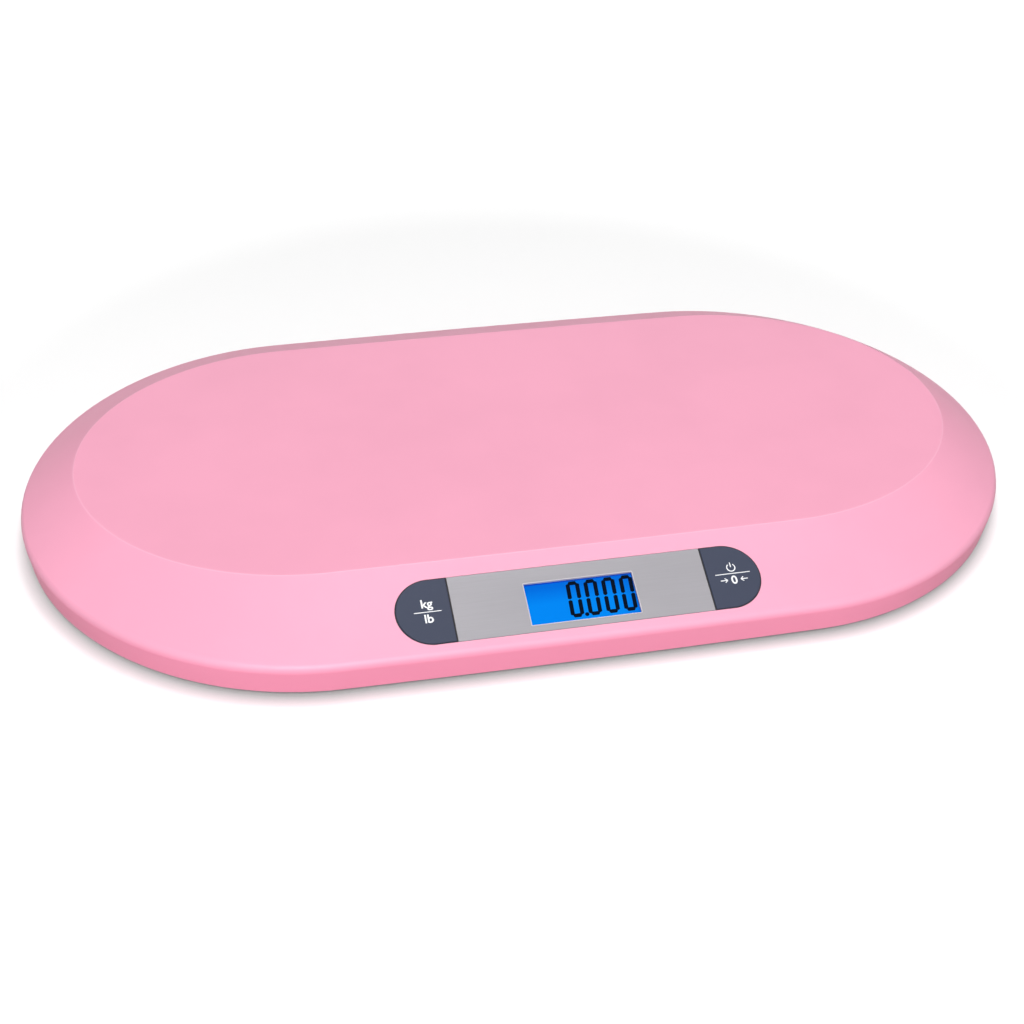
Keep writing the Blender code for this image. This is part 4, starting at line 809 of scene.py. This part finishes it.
class BABYSCALE_OT_panel(bpy.types.Operator):
    """Set the brushed silver plate in its pocket, with a liner of painted shade and glow round its display opening"""

    bl_idname = "baby_scale.panel"
    bl_label = "Silver Plate"

    def execute(self, context):
        panel = context.scene.baby_scale_panel
        place = panel_place()
        plate = slab(
            "silver_plate", panel.plate_length / 2, panel.plate_height / 2, -panel.plate_thickness, 0.0,
            corner=0.25 * MM, steps=3,
        )
        half_x, half_y = panel.window_length / 2, panel.window_height / 2
        opening = slab(
            "opening", half_x, half_y, -3 * MM, 3 * MM, y=-panel.window_drop, corner=panel.window_corner, steps=6
        )
        plate = carve(plate, [("DIFFERENCE", opening)])
        shape = bmesh.new()
        shape.from_mesh(plate)
        bmesh.ops.dissolve_limit(shape, angle_limit=math.radians(1), verts=shape.verts, edges=shape.edges)
        top = -0.01 * MM
        break_edges(
            shape, lambda edge: min(edge.verts[0].co.z, edge.verts[1].co.z) > top and edge.calc_face_angle(0.0) > 1.0,
            panel.plate_edge, 2,
        )
        mesh = finish_mesh(shape, "silver_plate", place, 40.0)
        piece = add_piece("silver_plate", mesh, finish_for("plate"), "housing", "plate", "display_plate")
        even_normals(piece)

        trim = slab(
            "trim", half_x + 0.02 * MM, half_y + 0.02 * MM, -panel.plate_thickness, 0.06 * MM, y=-panel.window_drop,
            corner=panel.window_corner, steps=6,
        )
        hole = slab(
            "trim_hole", half_x - panel.trim_width, half_y - panel.trim_width, -3 * MM, 3 * MM, y=-panel.window_drop,
            corner=panel.window_corner * 0.6, steps=6,
        )
        trim = carve(trim, [("DIFFERENCE", hole)])
        trim.transform(place)
        add_piece("window_trim", trim, finish_for("trim"), "housing", "plate")

        outer = slab(
            "liner", half_x + panel.liner_wall + 0.1 * MM, half_y + panel.liner_wall + 0.1 * MM,
            0.1 * MM - panel.glass_depth, -panel.liner_top, y=-panel.window_drop,
        )
        inner = slab(
            "liner_hole", half_x + 0.1 * MM, half_y + 0.1 * MM, -8 * MM, 0.0, y=-panel.window_drop,
            corner=panel.window_corner,
        )
        liner = carve(outer, [("DIFFERENCE", inner)])
        liner.transform(place)
        # Painted shade and glow: the liner is a dark blue sheet with a weak glow of its own. It stands in for the
        # shaded edge of the display seen past the window's walls.
        material = moulded_plastic("painted shade blue liner", (0.002, 0.055, 0.42), 0.5)
        shader = material.node_tree.nodes["Principled BSDF"]
        shader.inputs["Emission Color"].default_value = (0.0, 0.07, 0.55, 1.0)
        shader.inputs["Emission Strength"].default_value = 0.35
        add_piece("painted_shade_window_liner", liner, material, "housing", "display")
        return {"FINISHED"}


SEGMENTS = {
    "0": "abcdef", "1": "bc", "2": "abged", "3": "abgcd", "4": "fgbc",
    "5": "afgcd", "6": "afgedc", "7": "abc", "8": "abcdefg", "9": "abcdfg",
}


def add_segment(shape, start, end, stroke):
    """One display segment: a hexagon drawn out between two points."""
    radius = stroke / math.sqrt(3)
    run = end - start
    half = max(run.length / 2 - radius, 0.0)
    made = bmesh.ops.create_circle(shape, cap_ends=True, segments=6, radius=radius)["verts"]
    bmesh.ops.rotate(shape, verts=made, cent=(0, 0, 0), matrix=Matrix.Rotation(math.radians(90), 3, "Z"))
    if max(vert.co.x for vert in made) < radius * 0.95:
        bmesh.ops.rotate(shape, verts=made, cent=(0, 0, 0), matrix=Matrix.Rotation(math.radians(30), 3, "Z"))
    for side in (-1, 1):
        tip = [vert for vert in made if vert.co.x * side > 0]
        bmesh.ops.translate(shape, vec=(side * half, 0.0, 0.0), verts=tip)
    middle = (start + end) / 2
    turn = Matrix.Translation((middle.x, middle.y, 0.0)) @ Matrix.Rotation(math.atan2(run.y, run.x), 4, "Z")
    bmesh.ops.transform(shape, matrix=turn, verts=made)


class BABYSCALE_OT_display(bpy.types.Operator):
    """Write the reading in seven-segment digits on the blue display"""

    bl_idname = "baby_scale.display"
    bl_label = "Display Digits"

    def execute(self, context):
        panel = context.scene.baby_scale_panel
        shape = bmesh.new()
        half_width = (panel.digit_width - panel.digit_stroke) / 2
        half_height = (panel.digit_height - panel.digit_stroke) / 2
        ends = {
            "a": ((-1, 1), (1, 1)), "b": ((1, 1), (1, 0)), "c": ((1, 0), (1, -1)), "d": ((-1, -1), (1, -1)),
            "e": ((-1, 0), (-1, -1)), "f": ((-1, 1), (-1, 0)), "g": ((-1, 0), (1, 0)),
        }
        digits = panel.reading.replace(".", "")
        right = 25.2 * MM
        middle_y = -0.55 * MM
        for place_left, digit in enumerate(reversed(digits)):
            centre_x = right - place_left * panel.digit_pitch
            for name in SEGMENTS[digit]:
                first, last = (
                    Vector((centre_x + x * half_width, middle_y + y * half_height, 0.0)) for x, y in ends[name]
                )
                gap = (last - first).normalized() * 0.16 * MM
                add_segment(shape, first + gap, last - gap, panel.digit_stroke)
        after_point = len(digits) - panel.reading.index(".")
        point_x = right - (after_point - 0.5) * panel.digit_pitch + 0.2 * MM
        point = Matrix.Translation((point_x, middle_y - half_height, 0.0))
        bmesh.ops.create_circle(shape, cap_ends=True, segments=20, radius=panel.digit_stroke * 0.52, matrix=point)
        for vert in shape.verts:
            vert.co.x += (vert.co.y - middle_y) * math.tan(panel.digit_lean)
        raise_face(shape, 0.02 * MM)
        bmesh.ops.translate(shape, vec=(0.0, 0.0, 0.02 * MM - panel.glass_depth), verts=shape.verts)
        mesh = finish_mesh(shape, "display_digits", panel_place())
        add_piece("display_digits", mesh, finish_for("digits"), "housing", "display")
        return {"FINISHED"}


def key_block(keys, side, grow, bottom, top, edge=0.0):
    """A block in the outline of a key: a half-round outer end and a flat inner side, grown or shrunk all round."""
    shape = bmesh.new()
    add_stadium(shape, 0.0, keys.radius + grow)
    inner = [vert for vert in shape.verts if vert.co.x * side < 0]
    bmesh.ops.translate(shape, vec=(-side * keys.radius * 2, 0.0, 0.0), verts=inner)
    cut = -side * (keys.straight + grow)
    bmesh.ops.bisect_plane(
        shape, geom=[*shape.verts, *shape.edges, *shape.faces], plane_co=(cut, 0.0, 0.0), plane_no=(-side, 0.0, 0.0),
        clear_outer=True,
    )
    bmesh.ops.translate(shape, vec=(0.0, 0.0, bottom), verts=shape.verts)
    raise_face(shape, top - bottom)
    if edge:
        limit = top - 0.01 * MM
        break_edges(shape, lambda one: min(one.verts[0].co.z, one.verts[1].co.z) > limit, edge, 4)
    return finish_mesh(shape, "key_block", panel_place(side * (keys.inner_edge + keys.straight)))


class BABYSCALE_OT_keys(bpy.types.Operator):
    """Fit the two slate-grey press keys with their flanges and stems"""

    bl_idname = "baby_scale.keys"
    bl_label = "Press Keys"

    def execute(self, context):
        keys = context.scene.baby_scale_keys
        low = -keys.flange_top - keys.flange_thickness
        # Painted shade: the black rings round the keys stand in for the shade in their gaps.
        shade_ring_finish = soft_rubber("black ring of painted shade", keys.shade_ring_tint, 0.7)
        for name, side in (("unit", -1), ("power", 1)):
            cap = key_block(keys, side, 0.0, low, keys.proud, keys.edge_radius)
            flange = key_block(keys, side, keys.flange, low, -keys.flange_top)
            hollow = key_block(keys, side, -keys.wall, low - 1 * MM, keys.proud - keys.roof)
            plunger_low, plunger_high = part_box(name + "_plunger")
            plunger = panel_place().inverted() @ ((plunger_low + plunger_high) / 2)
            place = panel_place(side * (keys.inner_edge + keys.straight))
            roof = keys.proud - keys.roof / 2
            stem = rod("stem", 0.0, 0.0, keys.stem_radius, plunger.z + 1.45 * MM, roof, place)
            mesh = carve(cap, [("UNION", flange), ("DIFFERENCE", hollow), ("UNION", stem)], 35.0)
            piece = add_piece(name + "_cap", mesh, finish_for("button"), name + "_key", "button", name + "_button")
            even_normals(piece)
            # Painted shade: a black ring in the gap round the key, standing in for the shade there.
            outer = key_block(keys, side, keys.shade_ring_gap + keys.shade_ring_width, -keys.shade_ring_bottom, -keys.shade_ring_top)
            inner = key_block(keys, side, keys.shade_ring_gap, -keys.shade_ring_bottom - 1 * MM, 1 * MM - keys.shade_ring_top)
            shade_ring = carve(outer, [("DIFFERENCE", inner)])
            add_piece(name + "_shade_ring", shade_ring, shade_ring_finish, "housing", "strip_rubber")
        return {"FINISHED"}


def lettering(text, height, x, y):
    """Flat letters as a mesh, centred on a point of the panel's plane."""
    curve = bpy.data.curves.new("letters", "FONT")
    curve.body = text
    curve.size = height / 0.70
    curve.align_x = "CENTER"
    curve.offset = height * 0.028
    curve.resolution_u = 6
    mesh = take_mesh(link_object("letters", curve))
    mesh.transform(Matrix.Translation((x, y, 0.0)))
    return mesh


def add_bar(shape, x, y, half_x, half_y, turn=0.0):
    size = Matrix.Diagonal((half_x, half_y, 1.0, 1.0))
    place = Matrix.Translation((x, y, 0.0)) @ Matrix.Rotation(turn, 4, "Z") @ size
    bmesh.ops.create_grid(shape, x_segments=1, y_segments=1, size=1.0, matrix=place)


def add_ring(shape, x, y, radius, stroke, start, end, steps=28):
    """Part of a flat ring: a short bar spun about a point."""
    across = Vector((math.cos(start), math.sin(start), 0.0))
    centre = Vector((x, y, 0.0))
    first = [shape.verts.new(centre + across * reach) for reach in (radius - stroke / 2, radius + stroke / 2)]
    edge = shape.edges.new(first)
    bmesh.ops.spin(
        shape, geom=[*first, edge], cent=centre, axis=UP, angle=end - start, steps=steps, use_merge=False
    )


class BABYSCALE_OT_marks(bpy.types.Operator):
    """Print the plain two-line marks on the keys"""

    bl_idname = "baby_scale.marks"
    bl_label = "Key Marks"

    def execute(self, context):
        keys = context.scene.baby_scale_keys
        height = keys.mark_height
        shape = bmesh.new()
        x, y = -79.4 * MM, -0.1 * MM
        add_bar(shape, x, y, 7.0 * MM, 0.22 * MM)
        for text, line in (("kg", y + 2.5 * MM), ("lb", y - 1.4 * MM - height)):
            shape.from_mesh(lettering(text, height, x, line))
        self.print_marks(keys, shape, "unit_mark", "unit_key")

        shape = bmesh.new()
        x, y = 81.2 * MM, 1.3 * MM
        add_bar(shape, x, y, 9.4 * MM, 0.22 * MM)
        icon = y + 1.2 * MM + height / 2
        add_ring(shape, x, icon, height * 0.46, 0.55 * MM, math.radians(125), math.radians(415))
        add_bar(shape, x, icon + height * 0.36, 0.27 * MM, height * 0.30)
        line = y - 1.4 * MM - height
        shape.from_mesh(lettering("0", height, x, line))
        for side in (-1, 1):
            arrow_y = line + height / 2
            add_bar(shape, x + side * 5.4 * MM, arrow_y, 1.9 * MM, 0.25 * MM)
            for turn in (-1, 1):
                barb_y, lean = arrow_y + turn * 0.65 * MM, side * turn * math.radians(40)
                add_bar(shape, x + side * 4.3 * MM, barb_y, 0.95 * MM, 0.25 * MM, lean)
        self.print_marks(keys, shape, "power_mark", "power_key")
        return {"FINISHED"}

    def print_marks(self, keys, shape, name, body):
        bmesh.ops.remove_doubles(shape, verts=shape.verts, dist=0.001 * MM)
        bmesh.ops.recalc_face_normals(shape, faces=shape.faces)
        raise_face(shape, keys.mark_depth)
        bmesh.ops.translate(shape, vec=(0.0, 0.0, keys.proud + 0.005 * MM), verts=shape.verts)
        add_piece(name, finish_mesh(shape, name, panel_place()), finish_for("print"), body, "button")


def pad_profile():
    """Radii and heights of a rubber foot in millimetres, with its two grooves."""
    profile = [(0.0, 0.35), (4.6, 0.35), (5.0, 0.0)]
    for groove in (8.0, 11.0):
        profile += [(groove - 0.45, 0.0), (groove - 0.3, 0.55), (groove + 0.3, 0.55), (groove + 0.45, 0.0)]
    return profile + [(13.8, 0.0), (14.2, 0.1), (14.42, 0.32), (14.5, 0.6), (14.5, 2.0), (14.0, 2.5), (0.0, 2.5)]


CUP_PROFILE = (
    (0.0, 10.3), (5.7, 10.3), (6.0, 10.0), (6.0, 4.8), (14.8, 4.8), (14.8, 8.9), (19.8, 8.9), (20.1, 8.6),
    (20.1, 7.7), (17.0, 7.7), (17.0, 1.9), (16.76, 1.24), (16.2, 1.0), (15.1, 1.0), (14.8, 1.25),
    (14.8, 2.8), (0.0, 2.8),
)
CORE_RADIUS, THREAD_RADIUS, SHANK_RADIUS = 1.2, 1.5, 1.45
CROSS_ARM, CROSS_HALF_WIDTH = 1.75, 0.33


def screw_profile(head, pitch, face, tip):
    """Radii and heights of a screw in millimetres: a pan head, then threads up to a blunt point."""
    seat = face + 1.8
    profile = [(0.0, face + 0.03), (head * 0.72, face + 0.03), (head * 0.92, face + 0.25), (head, face + 0.7)]
    profile += [(head, seat), (SHANK_RADIUS, seat)]
    height = seat + 0.5
    while height < tip - 1.6:
        profile += [(CORE_RADIUS, height), (THREAD_RADIUS, height + 0.3)]
        profile += [(THREAD_RADIUS, height + 0.42), (CORE_RADIUS, height + 0.72)]
        height += pitch
    return profile + [(CORE_RADIUS, tip - 0.9), (0.3, tip), (0.0, tip)]


def cross_cutters(face):
    """What cuts the cross into a screw's head: two blades and a cone in their middle."""
    blades = [(CROSS_ARM, CROSS_HALF_WIDTH), (CROSS_HALF_WIDTH, CROSS_ARM)]
    cutters = [slab("cross", x * MM, y * MM, (face - 1) * MM, (face + 1.15) * MM) for x, y in blades]
    shape = bmesh.new()
    bmesh.ops.create_cone(
        shape, cap_ends=True, segments=24, radius1=1.25 * MM, radius2=0.25 * MM, depth=2.0 * MM,
        matrix=Matrix.Translation((0.0, 0.0, (face + 0.6) * MM)),
    )
    return [*cutters, finish_mesh(shape, "cross_middle")]


class BABYSCALE_OT_underside(bpy.types.Operator):
    """Fit what shows from below: the screws, the grooved feet in their cups and the grip on the battery door"""

    bl_idname = "baby_scale.underside"
    bl_label = "Underside"

    def execute(self, context):
        size = context.scene.baby_scale_underside
        low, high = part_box("base_screw_1")
        face = low.z / MM
        profile = screw_profile(size.screw_head / MM, size.thread_pitch / MM, face, high.z / MM)
        screw = carve(turned("screw", profile, steps=40), [("DIFFERENCE", mesh) for mesh in cross_cutters(face)])
        for number, (x, y, _) in enumerate(boss_places(), 1):
            mesh = screw.copy()
            mesh.transform(Matrix.Translation((x, y, 0.0)))
            steel = finish_for("screw_steel")
            add_piece(f"cross_screw_{number}", mesh, steel, "housing", "screw_steel", f"base_screw_{number}")

        for name, x, y, _ in foot_places():
            place = Matrix.Translation((x, y, 0.0))
            for piece, node, profile, slot in (
                ("rubber_foot_", "foot_pad_", pad_profile(), "pad_rubber"),
                ("foot_housing_", "foot_cup_", CUP_PROFILE, "inner_plastic"),
            ):
                mesh = turned(piece + name, profile, place)
                add_piece(piece + name, mesh, finish_for(slot), name + "_foot", slot, node + name)

        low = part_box("battery_door")[0]
        shape = bmesh.new()
        for step in range(size.grip_ridges):
            y = low.y + (1.6 + step * 1.5) * MM
            bottom, top = low.z - size.grip_height, low.z + 0.3 * MM
            add_slab(shape, 4.6 * MM, 0.35 * MM, bottom, top, y=y, corner=0.35 * 0.95 * MM, steps=4)
        add_piece("door_grip", finish_mesh(shape, "door_grip"), finish_for("base"), "battery_hatch", "base")
        return {"FINISHED"}


def lamp(name, place, target, size, power):
    """A rectangular lamp that looks at a point."""
    data = bpy.data.lights.new(name, "AREA")
    data.shape = "RECTANGLE"
    data.size, data.size_y = size
    data.energy = power
    light = link_object(name, data)
    light.location = place
    light.rotation_euler = (Vector(target) - Vector(place)).to_track_quat("-Z", "Y").to_euler()


def seen_share(tree, mirrored):
    """One for what the camera sees, straight or through a window, and a share of that in reflections."""
    rays = tree.nodes.new("ShaderNodeLightPath").outputs
    glossy = calculate(tree, "MULTIPLY", rays["Is Glossy Ray"], mirrored)
    seen = calculate(tree, "MAXIMUM", rays["Is Camera Ray"], glossy)
    return calculate(tree, "MAXIMUM", seen, rays["Is Transmission Ray"])


def white_world():
    """A world that lights softly and shows white to the camera and in reflections."""
    world = bpy.data.worlds.new("studio")
    bpy.context.scene.world = world
    world.use_nodes = True
    tree = world.node_tree
    background = tree.nodes["Background"]
    horizon = add_ramp(tree, read_axes(tree, "Generated")["Z"], 0.0, 0.4, 0.2, 1.0)
    strength = add_ramp(tree, seen_share(tree, horizon), 0.0, 1.0, 0.05, 1.0)
    tree.links.new(strength, background.inputs["Strength"])
    background.inputs["Color"].default_value = (1.0, 1.0, 1.0, 1.0)


def floor_finish(tint):
    """Pale floor, white to the camera and in reflections, with a soft contact shadow round what stands on it."""
    material, tree, shader = start_finish("pale studio floor", 0.9)
    shader.inputs["Specular IOR Level"].default_value = 0.0
    seen = seen_share(tree, 0.35)
    closeness = tree.nodes.new("ShaderNodeAmbientOcclusion")
    closeness.samples = 8
    closeness.inputs["Distance"].default_value = 9 * MM
    depth = calculate(tree, "POWER", closeness.outputs["AO"], 0.9)
    white = mix_colours(tree, add_noise(tree, 3.0, 2.0), (0.93, 0.93, 0.93), (0.95, 0.95, 0.95))
    shadowed = mix_colours(tree, depth, (0.0, 0.0, 0.0), white)
    tree.links.new(mix_colours(tree, seen, tint, shadowed), shader.inputs["Base Color"])
    coordinates = tree.nodes.new("ShaderNodeTexCoord")
    distance = tree.nodes.new("ShaderNodeVectorMath")
    distance.operation = "LENGTH"
    tree.links.new(coordinates.outputs["Object"], distance.inputs[0])
    lift = add_ramp(tree, distance.outputs["Value"], 0.34, 0.85, 0.06, 1.0)
    tree.links.new(calculate(tree, "MULTIPLY", lift, seen), shader.inputs["Emission Strength"])
    shader.inputs["Emission Color"].default_value = (1.0, 1.0, 1.0, 1.0)
    return material


class BABYSCALE_OT_stage(bpy.types.Operator):
    """Set up the pale floor, the soft lights and the camera"""

    bl_idname = "baby_scale.stage"
    bl_label = "Studio"

    def execute(self, context):
        stage = context.scene.baby_scale_stage
        shape = bmesh.new()
        bmesh.ops.create_grid(shape, x_segments=1, y_segments=1, size=stage.floor_size)
        floor = link_object("floor", finish_mesh(shape, "floor"))
        floor.data.materials.append(floor_finish(stage.floor_tint))
        white_world()
        lamp("overhead", (0.35, 0.55, 2.90), (0.05, 0.0, 0.0), (1.4, 1.2), 26.0)
        lamp("front", (-0.65, -2.75, 2.60), (0.0, 0.0, 0.0), (2.0, 1.4), 158.0)
        lamp("back", (0.60, 2.90, 1.70), (0.0, 0.0, 0.0), (2.2, 1.2), 6.5)
        context.scene.view_settings.view_transform = "Standard"

        data = bpy.data.cameras.new("camera")
        camera = link_object("camera", data)
        data.lens = stage.lens
        data.sensor_width = 36.0
        data.shift_x, data.shift_y = stage.shift_x, stage.shift_y
        azimuth, elevation, roll = stage.azimuth, stage.elevation, stage.roll
        flat = math.cos(elevation)
        back = Vector((math.sin(azimuth) * flat, -math.cos(azimuth) * flat, math.sin(elevation)))
        level_right = Vector((math.cos(azimuth), math.sin(azimuth), 0.0))
        level_up = back.cross(level_right)
        right = level_right * math.cos(roll) + level_up * math.sin(roll)
        up = level_up * math.cos(roll) - level_right * math.sin(roll)
        turn = Matrix((right, up, back)).transposed().to_4x4()
        camera.matrix_world = Matrix.Translation(back * stage.distance) @ turn
        context.scene.camera = camera
        return {"FINISHED"}


STEPS = ("finishes", "shell", "panel", "display", "keys", "marks", "underside", "stage")
GROUPS = {
    "baby_scale_shell": BABYSCALE_PG_shell,
    "baby_scale_panel": BABYSCALE_PG_panel,
    "baby_scale_keys": BABYSCALE_PG_keys,
    "baby_scale_underside": BABYSCALE_PG_underside,
    "baby_scale_stage": BABYSCALE_PG_stage,
}


class BABYSCALE_PT_parts(bpy.types.Panel):
    """Lists the steps that dress the scale and the settings that they read"""

    bl_idname = "BABYSCALE_PT_parts"
    bl_label = "Baby Scale"
    bl_space_type = "VIEW_3D"
    bl_region_type = "UI"
    bl_category = "Baby Scale"

    def draw(self, context):
        for step in STEPS:
            self.layout.operator("baby_scale." + step)
        for name, group in GROUPS.items():
            box = self.layout.box()
            box.label(text=group.__doc__)
            for key in group.__annotations__:
                box.prop(getattr(context.scene, name), key)


CLASSES = (
    *GROUPS.values(), BABYSCALE_OT_finishes, BABYSCALE_OT_shell, BABYSCALE_OT_panel, BABYSCALE_OT_display,
    BABYSCALE_OT_keys, BABYSCALE_OT_marks, BABYSCALE_OT_underside, BABYSCALE_OT_stage, BABYSCALE_PT_parts,
)


def register():
    for cls in CLASSES:
        bpy.utils.register_class(cls)
    for name, group in GROUPS.items():
        setattr(bpy.types.Scene, name, PointerProperty(type=group))


def unregister():
    for name in GROUPS:
        delattr(bpy.types.Scene, name)
    for cls in reversed(CLASSES):
        bpy.utils.unregister_class(cls)


def main():
    register()
    for step in STEPS:
        getattr(bpy.ops.baby_scale, step)()


if __name__ == "__main__":
    main()
